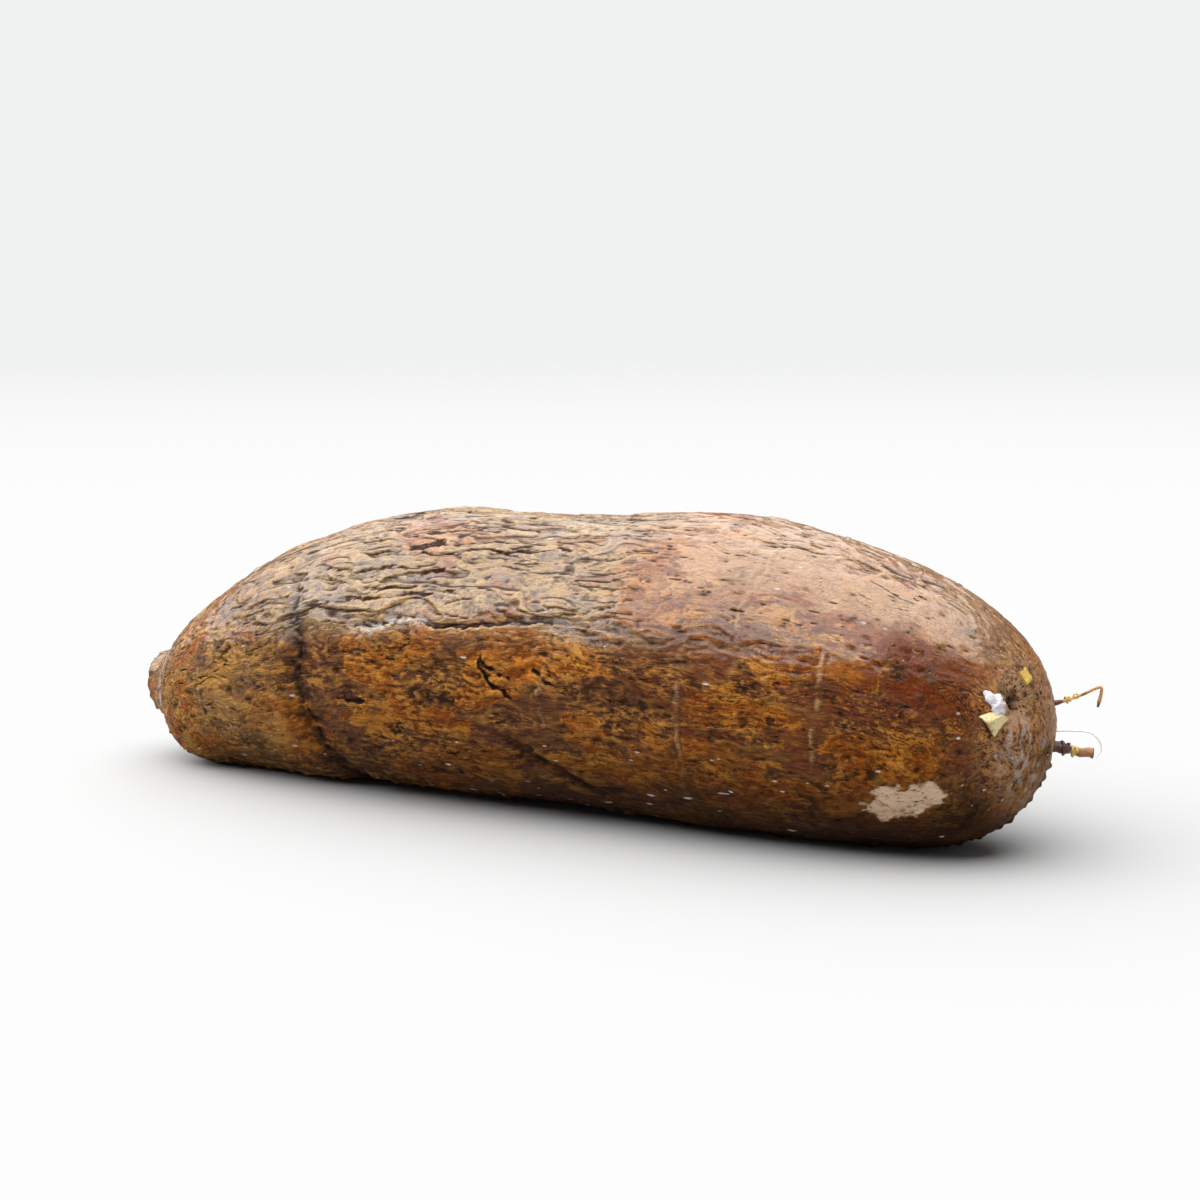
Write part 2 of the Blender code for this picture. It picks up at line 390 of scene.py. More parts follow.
def iron(field, rows, columns):
    """A Gaussian blur over the net, which closes round the root."""
    for axis, size in ((0, rows), (1, columns)):
        if size <= 0:
            continue
        half = int(3 * size) + 1
        weights = np.exp(-0.5 * (np.arange(-half, half + 1) / size) ** 2)
        weights /= weights.sum()
        mode = "edge" if axis == 0 else "wrap"
        pad = [(half, half) if axis == a else (0, 0) for a in (0, 1)]
        wide = np.pad(field, pad, mode=mode)
        field = sum(
            weight * (wide[k : k + field.shape[0]] if axis == 0 else wide[:, k : k + field.shape[1]])
            for k, weight in enumerate(weights)
        )
    return field


travel, run_line = even_rows(ROWS)
turns = np.linspace(0, 2 * math.pi, COLUMNS, endpoint=False)
origins, aims, lengths = cast(travel, turns)
ROW_STEP = run_line[1]
tight, loose = iron(lengths, 1, 1), iron(lengths, IRON / ROW_STEP, IRON / 0.35)
keep_neck = smooth_step(run_line, *NECK_KEEP)[:, None]
lengths = tight * (1 - keep_neck) + loose * keep_neck
base = origins[:, None] + aims * lengths[..., None]
print("net:", ROWS, "x", COLUMNS, "rows every", round(ROW_STEP, 3), "mm")
print("skin length:", round(run_line[-1], 1), "mm")

# %% [markdown]
# ## Measures on the skin
# Marks are placed as a gardener would describe them: how far along the root, from 0 at the neck to 1
# at the tip, and how far round it, from 0 degrees at the front to 90 on top. Each point of the net
# also knows its outward normal and its place on the unrolled bark, where noise can be stretched
# lengthwise without smearing at the ends.

# %% Measures


def ring_slope(field):
    """The change per column, round the root."""
    return (np.roll(field, -1, 1) - np.roll(field, 1, 1)) / 2


def normals_of(spots):
    """Outward unit normals of the net."""
    normal = np.cross(ring_slope(spots), np.gradient(spots, axis=0))
    normal /= np.linalg.norm(normal, axis=2, keepdims=True) + 1e-9
    outward = np.sign((normal * aims).sum(2, keepdims=True))
    return normal * np.where(outward == 0, 1, outward)


normals = normals_of(base)
share = (base[..., 0] - box_low.x) / (box_high.x - box_low.x)
inner_x = np.clip(base[..., 0], box_low.x + 3, box_high.x - 3)
off_y, off_z = base[..., 1] - fits[0](inner_x), base[..., 2] - fits[1](inner_x)
degrees = np.degrees(np.arctan2(off_z, -off_y))
ring_radius = np.hypot(off_y, off_z)
ring_cell = np.linalg.norm(ring_slope(base), axis=2) + 1e-3
bark_run = np.stack([np.broadcast_to(run_line[:, None], share.shape), off_y, off_z], 2)


def lattice_noise(places, seed):
    """Gradient noise, about -1 to 1, for places measured in cells."""
    maker = np.random.default_rng(seed)
    table = maker.permutation(256).astype(np.int32)
    leans = maker.normal(size=(256, 3))
    leans = (leans / np.linalg.norm(leans, axis=1, keepdims=True)).astype(np.float32)
    flat = places.reshape(-1, 3).astype(np.float32)
    cell = np.floor(flat)
    part = flat - cell
    cell = cell.astype(np.int32)
    fade = part * part * part * (part * (part * 6 - 15) + 10)
    weights = [(1 - fade[:, axis], fade[:, axis]) for axis in range(3)]
    total = np.zeros(len(flat), np.float32)
    for i in (0, 1):
        key_x = table[(cell[:, 0] + i) & 255]
        for j in (0, 1):
            key_y = table[(key_x + cell[:, 1] + j) & 255]
            both = weights[0][i] * weights[1][j]
            for k in (0, 1):
                lean = leans[table[(key_y + cell[:, 2] + k) & 255]]
                lean *= part - np.array((i, j, k), np.float32)
                total += both * weights[2][k] * (lean[:, 0] + lean[:, 1] + lean[:, 2])
    return 1.6 * total.reshape(places.shape[:-1])


def bark_noise(length, width, seed, octaves=1):
    """Noise on the unrolled bark, with blobs of length by width in mm."""
    spots = bark_run / (length, width, width)
    total, size = 0, 1.0
    for octave in range(octaves):
        total = total + size * lattice_noise(spots * 2**octave + seed * 1.37, seed + octave)
        size *= 0.5
    return total


MEANDER = 1.6
bends = np.stack([0 * share, bark_noise(15, 11, 31, 2), bark_noise(15, 11, 32, 2)], 2)
bark_run = bark_run + MEANDER * bends


def zone(shares, angles, soft_share=0.03, soft_angle=8.0):
    """1 inside a window of shares and degrees, with soft edges."""
    near = smooth_step(share, shares[0] - soft_share, shares[0] + soft_share)
    far = smooth_step(share, shares[1] + soft_share, shares[1] - soft_share)
    half = (angles[1] - angles[0]) / 2
    turn = np.abs((degrees - (angles[0] + half) + 180) % 360 - 180)
    return near * far * smooth_step(turn, half + soft_angle, half - soft_angle)


def on_skin(along, angle):
    """The place on the frame at that share along the root and angle round it."""
    x = box_low.x + along * (box_high.x - box_low.x)
    inner = min(max(x, box_low.x + 3), box_high.x - 3)
    start = (x, fits[0](inner), fits[1](inner))
    turn = math.radians(angle)
    aim = (0, -math.cos(turn), math.sin(turn))
    return np.array(start) + np.array(aim) * (reach(start, aim) or 0)


WOBBLE, RAGGED = 0.9, 0.50
wavy = base + WOBBLE * np.stack([bark_noise(9, 7, 50 + axis, 2) for axis in range(3)], 2)
wavy += RAGGED * np.stack([bark_noise(2.6, 2.0, 54 + axis, 2) for axis in range(3)], 2)


TRACE_STEPS = 8


def glide(a, b, c, d, t):
    """A place between b and c on the smooth curve that also heeds a and d."""
    slope, bend, twist = c - a, 2 * a - 5 * b + 4 * c - d, 3 * b - a - 3 * c + d
    return 0.5 * (2 * b + slope * t + bend * t**2 + twist * t**3)


def smooth_path(marks, steps):
    """A smooth line through marks, with that many steps between each two."""
    marks = [np.array(mark, float) for mark in marks]
    marks = [2 * marks[0] - marks[1], *marks, 2 * marks[-1] - marks[-2]]
    line = []
    for a, b, c, d in zip(marks, marks[1:], marks[2:], marks[3:]):
        line += [glide(a, b, c, d, t) for t in np.linspace(0, 1, steps, endpoint=False)]
    return np.array([*line, marks[-2]])


def trace(marks, margin=9.0):
    """Distance in mm from a smooth line through marks, which side of it, and how far along it."""
    line = smooth_path([on_skin(*mark) for mark in marks], TRACE_STEPS)
    inside = ((wavy > line.min(0) - margin) & (wavy < line.max(0) + margin)).all(2)
    spots, facing = wavy[inside], normals[inside]
    near = np.full(len(spots), 99.0)
    side, progress = np.zeros(len(spots)), np.zeros(len(spots))
    for index, (a, b) in enumerate(zip(line, line[1:])):
        way = b - a
        part = np.clip((spots - a) @ way / (way @ way + 1e-9), 0, 1)
        off = spots - a - part[:, None] * way
        gap = np.linalg.norm(off, axis=1)
        closer = gap < near
        near[closer] = gap[closer]
        progress[closer] = ((index + part) / (len(line) - 1))[closer]
        across = np.cross(np.broadcast_to(way, off.shape), off)
        side[closer] = np.sign((across * facing).sum(1))[closer]
    result = []
    for values, rest in ((near, 99.0), (side, 0.0), (progress, 0.0)):
        full = np.full(share.shape, rest)
        full[inside] = values
        result.append(full)
    return result


def spot(along, angle):
    """Distance in mm of every point of the net from one place."""
    return np.linalg.norm(wavy - on_skin(along, angle), axis=2)


def bell(distance, width):
    """1 at no distance, falling to a third at width."""
    return np.exp(-((distance / width) ** 2))


height = np.zeros(share.shape)
marks = {name: np.zeros(share.shape) for name in ("crack", "lip")}


def keep_most(name, values):
    """Adds to a mark by keeping the stronger of the old and new."""
    marks[name] = np.maximum(marks.get(name, 0), values)


print("measures: ring radius up to", round(float(ring_radius.max()), 1), "mm")

# %% [markdown]
# ## Swelling and creases
# A root swells unevenly round the stones it meets, and its bark creases lengthwise as it dries. Two
# sizes of slow lumps give the first, and stretched noise gives the second. Both are real height in
# the mesh, so they break the outline and the sheen.

# %% Swelling and creases
under = smooth_step(degrees, -8, -60) * (degrees > -150)
DRY_SHARES, DRY_ANGLES = (0.20, 0.66), (18, 165)
papery = zone(DRY_SHARES, DRY_ANGLES, 0.06, 10)
smooth_tip = zone((0.84, 0.99), (-12, 60), 0.05, 14)
creases_strength = 1 - 0.45 * smooth_tip
height += 0.55 * bark_noise(30, 20, 1) + 0.30 * bark_noise(13, 9, 2)
HEEL, HEEL_SIZE, SHOULDER = (0.075, -50), 2.2, 1.1
height += HEEL_SIZE * bell(np.linalg.norm(base - on_skin(*HEEL), axis=2), 11)
height -= SHOULDER * bell(base[..., 0] - (box_low.x + 8), 5.0) * smooth_step(ring_radius, 8.5, 12)


def folds(length, width, seed, octaves=1):
    """Rounded folds with sharp valleys between them, about -0.3 to 0.7."""
    return np.abs(bark_noise(length, width, seed, octaves)) - 0.3


height += creases_strength * (1 - 0.5 * papery) * 0.26 * folds(14, 3.4, 3, 2)
height += creases_strength * 0.10 * folds(5.5, 1.6, 5)
height += creases_strength * 0.06 * bark_noise(2.2, 1.0, 7)
crumpled = np.maximum(zone((0.31, 0.60), (-4, 17), 0.03, 5), 0.5 * zone((0.57, 0.80), (10, 30), 0.05, 8))
height += crumpled * 0.42 * folds(3.6, 1.5, 9, 2)
rough_side = zone((0.27, 0.66), (-85, 12), 0.05, 10)
height += rough_side * (0.26 * folds(7.0, 2.6, 10, 2) + 0.08 * folds(2.6, 1.2, 11))
height += 0.18 * zone((0.03, 0.25), (-70, 60), 0.03, 20) * folds(8.0, 1.8, 12, 2)
print("papery share of the skin:", round(float(papery.mean()), 2))

# %% [markdown]
# ## Fissures in the bark
# Dry bark splits lengthwise, and each split lifts at one edge. The splits follow the zero lines of
# a stretched noise, which wander and fork like real ones. A second noise opens and closes each
# line, so that it reads as separate cracks with tapering ends.

# %% Fissures


def contour(field):
    """Signed distance in mm to the zero lines of a field, and how lengthwise each line runs."""
    along = np.gradient(field, axis=0) / ROW_STEP
    around = ring_slope(field) / ring_cell
    slope = np.hypot(along, around)
    return field / np.maximum(slope, 0.04), (around / (slope + 1e-6)) ** 2


def fissures(length, width, seed, depth, gap, where, opening):
    """One family of cracks: carves them, lifts their lips and marks both."""
    global height
    away, lengthwise = contour(bark_noise(length, width, seed, 2))
    open_here = smooth_step(bark_noise(length * 0.8, width * 1.1, seed + 40, 2), opening, opening + 0.35)
    strength = open_here * lengthwise**3 * where
    wide = gap * (0.45 + 0.55 * strength)
    cut = bell(away, wide) * strength
    lifted = np.where(away > 0, bell(away - wide, 2.6 * gap), 0.3 * bell(away + 1.6 * wide, 1.3 * gap))
    height += depth * (-cut + 0.26 * lifted * strength)
    # The crack mark is darkened in the finish: painted shade, with the darker inner bark.
    keep_most("crack", cut)
    # The lip mark is lightened in the finish: painted highlight, with some wear.
    keep_most("lip", strength * bell(np.abs(away) - 1.5 * wide, 0.8 * gap))
    return cut


bark_all_round = 0.35 + 0.65 * papery
upper_tip = zone((0.70, 0.93), (44, 150), 0.04, 10)
fissures(44, 7.0, 11, 0.85, 0.30, papery, -0.05)
fissures(26, 4.2, 13, 0.60, 0.24, np.maximum(papery, 0.8 * upper_tip), 0.0)
fissures(24, 5.0, 15, 0.50, 0.26, np.maximum(upper_tip, 0.30), 0.1)
fissures(22, 3.6, 39, 0.45, 0.24, 0.9 * zone((0.02, 0.25), (-10, 120), 0.03, 20), 0.0)
fissures(9, 3.0, 43, 0.40, 0.22, zone((0.66, 0.95), (30, 75), 0.04, 8), 0.30)
fissures(6, 1.4, 47, 0.26, 0.19, zone((0.62, 0.96), (20, 130), 0.05, 12), 0.22)
fissures(12, 3.0, 17, 0.30, 0.20, bark_all_round * (1 - 0.7 * smooth_tip), 0.0)
print("cracked share of the skin:", round(float((marks["crack"] > 0.3).mean()), 3))

# %% [markdown]
# ## Flakes
# Old bark sheds in thin flakes that lie over each other like torn paper. Each flake is a terrace:
# a stretched noise is cut into levels, and every level ends in a short steep edge that curls up a
# little. The foot of an edge is darkened as painted shade and dirt, and the edge itself is
# lightened as a painted highlight and rubbed wear.

# %% Flakes


def flakes(length, width, seed, levels, thickness, where):
    """One size of flakes: raises the terraces and marks their edges and feet."""
    global height
    level = levels * bark_noise(length, width, seed, 2)
    along = np.gradient(level, axis=0) / ROW_STEP
    around = ring_slope(level) / ring_cell
    slope = np.maximum(np.hypot(along, around), 0.15)
    step = np.round(level)
    away = (level - step) / slope
    ragged = where * smooth_step(bark_noise(length, 2 * width, seed + 40, 2), -0.35, 0.15)
    rise = smooth_step(away, -EDGE_WIDTH, EDGE_WIDTH)
    height += thickness * where * (step + rise - 0.5)
    height += 0.4 * thickness * ragged * np.where(away > 0, bell(away - 0.3, 0.7), 0)
    # Darkened foot of each flake's edge: painted shade and dirt.
    keep_most("crack", 0.8 * ragged * bell(away + 0.35, 0.30) * (around / slope) ** 2)
    # The edge's lip: painted highlight, with some wear.
    keep_most("lip", 0.8 * ragged * bell(away - 0.30, 0.35))


EDGE_WIDTH = 0.28
flakes(26, 6.5, 21, 1.4, 0.26, papery)
flakes(13, 4.0, 24, 1.2, 0.15, (0.40 + 0.60 * papery) * (1 - 0.8 * smooth_tip))
flakes(15, 4.5, 33, 1.3, 0.28, zone((0.70, 0.93), (66, 130), 0.04, 8))
print("flaked share of the skin:", round(float((marks["lip"] > 0.3).mean()), 3))

# %% [markdown]
# ## Named marks
# Some marks give this root its face: a waist where a stone squeezed it, ring scars left by its
# growth, a long ledge where the dry bark ends, and a few bold cracks. They could each be drawn
# point by point. Rules are shorter and easier to change: a girdle runs round the root and leans, a
# streak runs along it and climbs, and both sway a little. The rings stand at an even step, and the
# cracks and smudges are sown with a fixed seed inside the part of the bark where they belong.

# %% Named marks
sketcher = np.random.default_rng(58)


def girdle(along, top, bottom, lean=0.0, sway=0.006):
    """Places round the root from one angle to another, leaning towards the tip on the way."""
    count = max(3, round(abs(top - bottom) / 18) + 1)
    way = np.linspace(0, 1, count)
    shares = along + lean * way + sketcher.uniform(-sway, sway, count)
    return list(zip(shares, top + (bottom - top) * way))


def streak(along, angle, length, climb=0.0, sway=2.0):
    """Places along the root over that share of its length, climbing so many degrees."""
    count = max(3, round(length / 0.035) + 1)
    way = np.linspace(0, 1, count)
    angles = angle + climb * way + sketcher.uniform(-sway, sway, count)
    return list(zip(along + length * way, angles))


def sow_streaks(count, shares, angles, lengths, climbs):
    """Streaks at random inside a window of the bark."""
    return [
        streak(
            sketcher.uniform(*shares),
            sketcher.uniform(*angles),
            sketcher.uniform(*lengths),
            sketcher.uniform(*climbs),
            1.2,
        )
        for _ in range(count)
    ]


WAIST_ALONG, WAIST_LEAN = 0.25, 0.06
RING_FIRST, RING_STEP, RING_COUNT = 0.58, 0.065, 5
MIDDLE = 0.5
LEDGE_START = DRY_SHARES[0] + 0.14
LEDGE_LENGTH = 0.25

WAIST = girdle(WAIST_ALONG, 80, -80, WAIST_LEAN)
LEDGES = [streak(LEDGE_START, DRY_ANGLES[0] - 2, LEDGE_LENGTH, 4)]
GROOVES = [streak(MIDDLE, -20, 2 * RING_STEP, -38, 1.5)]
SCRAPES = [[(along + RING_STEP / 2, angle + 24) for along, angle in GROOVES[0][-3:]]]
BOLD_CRACKS = sow_streaks(12, (0.30, 0.55), (24, 60), (0.04, 0.09), (0, 6))
BOLD_CRACKS += sow_streaks(4, (0.32, 0.58), (-14, 10), (0.03, 0.06), (-18, 6))
SMUDGES = sow_streaks(8, (0.12, 0.80), (-55, 8), (0.05, 0.10), (-8, 4))
RINGS = [girdle(WAIST_ALONG / 2, 20, -45)]
for number in range(RING_COUNT):
    along = RING_FIRST + RING_STEP * number
    top = sketcher.uniform(30, 90)
    RINGS.append(girdle(along, top, top - sketcher.uniform(50, 90), -0.012))
    back = sketcher.uniform(100, 150)
    RINGS.append(girdle(along, back, back + sketcher.uniform(40, 70)))
print("cracks:", len(BOLD_CRACKS), "smudges:", len(SMUDGES), "girdles:", len(RINGS) + 1)
print("ledges:", len(LEDGES), "grooves:", len(GROOVES), "scrapes:", len(SCRAPES))

# %% [markdown]
# ## Carving the named marks
# Each line is carved by its distance from every point of the net. A crack is a narrow cut with one
# lifted lip, a ledge is a step that lies over the bark below it, and the waist and the groove are
# wide soft hollows with torn bark at the bottom. A ring scar is a thin rubbed ridge. Distances are
# taken on wobbling places, so that the lines look grown and not ruled.

# %% Carve the named marks
def taper(progress, ends=0.16):
    """1 along a line, falling away at both ends."""
    return smooth_step(progress, 0, ends) * smooth_step(progress, 1, 1 - ends)


for line in BOLD_CRACKS:
    away, side, progress = trace(line)
    strength = taper(progress)
    cut = bell(away, 0.26 + 0.12 * strength) * strength
    height += -0.65 * cut + 0.22 * strength * bell(away, np.where(side < 0, 1.5, 0.3))
    # Crack mark: painted shade and dark inner bark.
    keep_most("crack", np.minimum(1, 1.6 * cut))
    # Lip: painted highlight.
    keep_most("lip", 0.5 * strength * np.where(side < 0, bell(away - 0.6, 0.3), 0))

for line in LEDGES:
    away, side, progress = trace(line)
    strength = taper(progress, 0.10)
    upper = side < 0
    height += strength * np.where(upper, 0.55 * bell(away, 4.0), -0.35 * bell(away, 1.2))
    # Below the ledge the crack mark paints its shadow.
    keep_most("crack", strength * np.where(upper, bell(away, 0.2), bell(away - 0.2, 0.4)))
    # Ledge lip: painted highlight.
    keep_most("lip", strength * np.where(upper, bell(away - 0.45, 0.5), 0))

for line in GROOVES:
    away, side, progress = trace(line)
    strength = taper(progress, 0.3)
    height -= 1.0 * strength * bell(away, 2.0)
    torn = smooth_step(bark_noise(4, 3, 68, 2), -0.3, 0.3)
    keep_most("crack", 0.8 * strength * bell(away, 0.6) * torn)

away, side, progress = trace(WAIST, 14)
strength = smooth_step(progress, 0.0, 0.45)
height -= (0.25 + 1.0 * strength) * bell(away, 4.6)
torn = smooth_step(bark_noise(4, 4, 66, 2), -0.3, 0.2)
height -= 0.40 * strength * torn * bell(away, 0.7)
keep_most("crack", 0.8 * strength * torn * bell(away, 0.7))
marks["stain"] = strength * bell(away, 4.2) * smooth_step(bark_noise(3.5, 2.6, 67, 3), -0.45, 0.15)

for line in SMUDGES:
    away, side, progress = trace(line)
    patchy = smooth_step(bark_noise(3.0, 2.0, 69, 3), -0.5, 0.1)
    strength = taper(progress, 0.3) * bell(away, 1.9) * patchy
    height -= 0.25 * strength
    marks["stain"] = np.maximum(marks["stain"], 0.85 * strength)

marks["ring"] = np.zeros(share.shape)
for line in RINGS:
    away, side, progress = trace(line)
    broken = smooth_step(bark_noise(4, 3, 61, 2), -0.7, 0.3)
    strength = taper(progress, 0.2) * broken
    height += strength * (0.16 * bell(away, 0.4) - 0.12 * bell(away - 0.9, 0.5))
    keep_most("ring", strength * bell(away, 0.60))
for line in SCRAPES:
    away, side, progress = trace(line)
    keep_most("ring", taper(progress) * bell(away, 0.35))
print("height from", round(float(height.min()), 2), "to", round(float(height.max()), 2), "mm")

# %% [markdown]
# ## Pits and warts
# Breathing pores, snapped rootlets and grit under the wax make hundreds of small pits and warts.
# They are sown at random with a fixed seed, thickest on the underside. Soft blotches of plum and of
# gold are sown the same way over the lower side, for the finish to use.

# %% Pits and warts
SOWN = 2400
sower = np.random.default_rng(77)
marks["wart"] = np.zeros(share.shape)
marks["speck"] = np.zeros(share.shape)


def window(row, column, cells):
    """The net's cells round one of them, closed round the root."""
    rows = np.arange(max(row - cells, 0), min(row + cells + 1, ROWS))
    columns = np.arange(column - cells, column + cells + 1) % COLUMNS
    return np.ix_(rows, columns)


for _ in range(SOWN):
    row = int(sower.integers(12, ROWS - 12))
    column = int(sower.integers(0, COLUMNS))
    size = float(sower.uniform(0.3, 0.85))
    luck = float(sower.random())
    patch = window(row, column, int(4 * size / 0.3) + 3)
    low = under[row, column]
    off = base[patch] - base[row, column]
    if luck > 0.45 + 0.30 * low:
        off = off * (0.33, 1, 1)
    gap = np.linalg.norm(off, axis=2)
    size *= 1 + 0.35 * low
    shape = bell(gap, size)
    if luck < 0.25 + 0.50 * low:
        height[patch] += (0.25 + 0.45 * low) * size * shape
        marks["wart"][patch] = np.maximum(marks["wart"][patch], shape)
    elif luck < 0.70 or sower.random() > 0.12 + low:
        height[patch] -= 0.30 * size * shape
        marks["crack"][patch] = np.maximum(marks["crack"][patch], 0.6 * bell(gap, 0.5 * size))
    else:
        marks["speck"][patch] = np.maximum(marks["speck"][patch], bell(gap, 0.42 * size))
NUBS, NUBS_END = 420, 0.93
for _ in range(NUBS):
    row = int(sower.integers(25, ROWS - 60))
    column = int(sower.integers(0, COLUMNS))
    size = float(sower.uniform(0.45, 1.15))
    if -130 < degrees[row, column] < -38 and share[row, column] < NUBS_END:
        patch = window(row, column, int(3 * size / 0.3) + 3)
        shape = bell(np.linalg.norm(base[patch] - base[row, column], axis=2), 0.75 * size)
        height[patch] += 0.75 * size * shape
        marks["wart"][patch] = np.maximum(marks["wart"][patch], 0.9 * shape)
TINT_SPOTS, TINT_SIZES = 12, (4.0, 8.5)
TINT_SHARES, TINT_ANGLES = (0.08, 0.88), (-55, 26)
for tint in ("plum", "gold"):
    marks[tint] = np.zeros(share.shape)
    for _ in range(TINT_SPOTS):
        place = (sower.uniform(*TINT_SHARES), sower.uniform(*TINT_ANGLES))
        marks[tint] = marks[tint] + bell(spot(*place), sower.uniform(*TINT_SIZES))
    marks[tint] = np.clip(marks[tint], 0, 1)
print("sown:", SOWN, "pits, warts and specks of wax, and up to", NUBS, "nubs below")

# %% [markdown]
# ## The wounded tip
# Near the tip a corky scar surrounds two holes where rootlets tore out. The frame has the wound and
# the kite of rind, found by aiming at them from inside the tip. They could be given as shares of the
# length, but then a new frame would part them, so the rest is measured from those two in mm.

# %% Wounded tip
INSIDE_TIP = Vector((86.6, 0, 28))


def tip_place(azimuth, rise):
    """The place on the frame's tip seen from inside along those degrees, and its three axes."""
    azimuth, rise = math.radians(azimuth), math.radians(rise)
    out = math.cos(rise)
    aim = Vector((out * math.cos(azimuth), out * math.sin(azimuth), math.sin(rise)))
    place, normal = shell.ray_cast(INSIDE_TIP, aim)[:2]
    normal = normal if normal.dot(aim) > 0 else -normal
    level = Vector((0, 0, 1)).cross(normal).normalized()
    return np.array(place), np.array([level, normal.cross(level), normal])


def away_from(place):
    """Distance in mm of every point of the net from a place in space."""
    return np.linalg.norm(wavy - place, axis=2)


def beside(place, axes, right, up):
    """A place moved over the skin by so many mm."""
    return place + right * axes[0] + up * axes[1]


WOUND_AIM, RIND_AIM = (-21, 14), (-36, 7)
SCAR_OFFSET, SCAR_WIDTH = (0.5, 1.0), 7.0
SLIT_OFFSET, SCRAPE_OFFSET = (-2.5, 3.0), (3.0, 0.5)
CHIP_OFFSET, WAX_OFFSET = (4.0, 4.5), (-2.8, 1.6)
wound, wound_axes = tip_place(*WOUND_AIM)
rind, rind_axes = tip_place(*RIND_AIM)
scar = bell(away_from(beside(wound, wound_axes, *SCAR_OFFSET)), SCAR_WIDTH)
cork = smooth_step(scar + 0.25 * bark_noise(4, 3, 71, 2), 0.35, 0.75)
height += cork * (0.30 * bark_noise(2.6, 1.8, 72, 3) - 0.15)
hole = away_from(wound)
slit = away_from(beside(wound, wound_axes, *SLIT_OFFSET))
height -= 2.4 * bell(hole, 1.5) + 1.0 * bell(slit, 1.1)
# The holes are painted near black in the finish: painted shade.
marks["hole"] = np.maximum(bell(hole, 1.3), 0.95 * bell(slit, 0.9))
marks["cork"] = cork
scrape = bell(away_from(beside(rind, rind_axes, *SCRAPE_OFFSET)), 2.4)
marks["scrape"] = smooth_step(scrape + 0.2 * bark_noise(2.5, 2, 74), 0.4, 0.7)

print("cork share:", round(float((marks["cork"] > 0.5).mean()), 4))

# %% [markdown]
# ## The scraped patch and the wax crust
# Below the tip the bark was scraped off in a ragged patch, down to the pale layer under it. One
# ellipse would look stamped, so lobes laid in a spiral and some noise give its edge. Wax that cooled
# too thick has turned white at the neck, at the tip and along the start of the ledge.

# %% Scraped patch and wax crust
PATCH_AT, PATCH_REACH, PATCH_TILT = (0.91, -31), (0.037, 5.0), 6.0
PATCH_LOBES, LOBE_SIZE = 8, 3.1
SPIRAL_TURN = math.radians(137.5)
patch_field = 0
for lobe in range(PATCH_LOBES):
    out, turn = math.sqrt((lobe + 0.5) / PATCH_LOBES), lobe * SPIRAL_TURN
    along = PATCH_AT[0] + PATCH_REACH[0] * out * math.cos(turn)
    angle = PATCH_AT[1] + PATCH_REACH[1] * out * math.sin(turn) + PATCH_TILT * out * math.cos(turn)
    patch_field = patch_field + bell(spot(along, angle), LOBE_SIZE)
patch_field = patch_field + 0.50 * bark_noise(3.4, 1.8, 81, 3) + 0.18 * bark_noise(0.9, 0.7, 82)
marks["patch"] = smooth_step(patch_field, 0.72, 0.86)
height -= 0.30 * marks["patch"]
split = girdle(PATCH_AT[0] + 0.006, PATCH_AT[1] + 7, PATCH_AT[1] - 4, sway=0.001)
away, side, progress = trace(split)
keep_most("crack", taper(progress) * bell(away, 0.3) * 0.9)
height -= 0.3 * taper(progress) * bell(away, 0.3)

marks["cut_face"] = smooth_step(base[..., 0], box_low.x + 0.9, box_low.x + 0.3) * smooth_step(
    run_line[:, None], 9.5, 8.0
)
neck_rim = bell(base[..., 0] - (box_low.x + 8.0), 1.6) * zone((0.0, 0.12), (-60, 60), 0.03, 20)
tip_rim = zone((0.985, 1.0), (-75, 30), 0.012, 20)
crust = bark_noise(3, 3, 83, 3)
neck_crust = neck_rim * smooth_step(crust, -0.5, 0.3)
tip_crust = 0.8 * tip_rim * smooth_step(crust, -0.1, 0.5)
marks["wax_crust"] = np.clip(np.maximum(neck_crust, tip_crust), 0, 1)
away, side, progress = trace(LEDGES[0][:4])
flaky = smooth_step(bark_noise(2.0, 1.2, 84, 2), -0.2, 0.3)
flaky_edge = taper(progress) * bell(away - 0.7, 0.8) * flaky
marks["wax_crust"] = np.maximum(marks["wax_crust"], 0.9 * flaky_edge)
print("patch share:", round(float((marks["patch"] > 0.5).mean()), 4))

# %% [markdown]
# ## Build the skin
# The height is added along the normals and nothing may sink below the table. What stands proud of
# its surroundings and what lies in them is kept as a mark too: the hollows are darkened as painted
# shade and dirt, and the ridges are lightened as a painted highlight. All marks travel with the mesh
# as attributes.

# %% Build the skin
fine = height - iron(height, 1.4 / ROW_STEP, 4)
# Ridges: lightened in the finish as a painted highlight.
marks["ridge"] = np.clip((fine - 0.02) / 0.16, 0, 1)
# Hollows: darkened in the finish as painted shade and dirt.
marks["hollow"] = np.clip((-fine - 0.04) / 0.20, 0, 1)
marks["stain"] = np.clip(marks["stain"], 0, 1)
# Darker towards the underside: painted shade, with some of the underside's own dirt.
marks["under"] = under * (0.20 + 0.80 * smooth_step(share, 0.15, 0.75))
ends_shine = smooth_step(share, 0.045, 0.02)
# mark_lower also tips the colour a little towards plum where the skin faces down: painted shade.
marks["lower"] = smooth_step(normals[..., 2], 0.45, 0.10) * (1 - 0.35 * ends_shine)
marks["orange"] = zone((0.30, 0.66), (0, 18), 0.06, 6)
marks["tip_end"] = smooth_step(share, 0.955, 0.985)
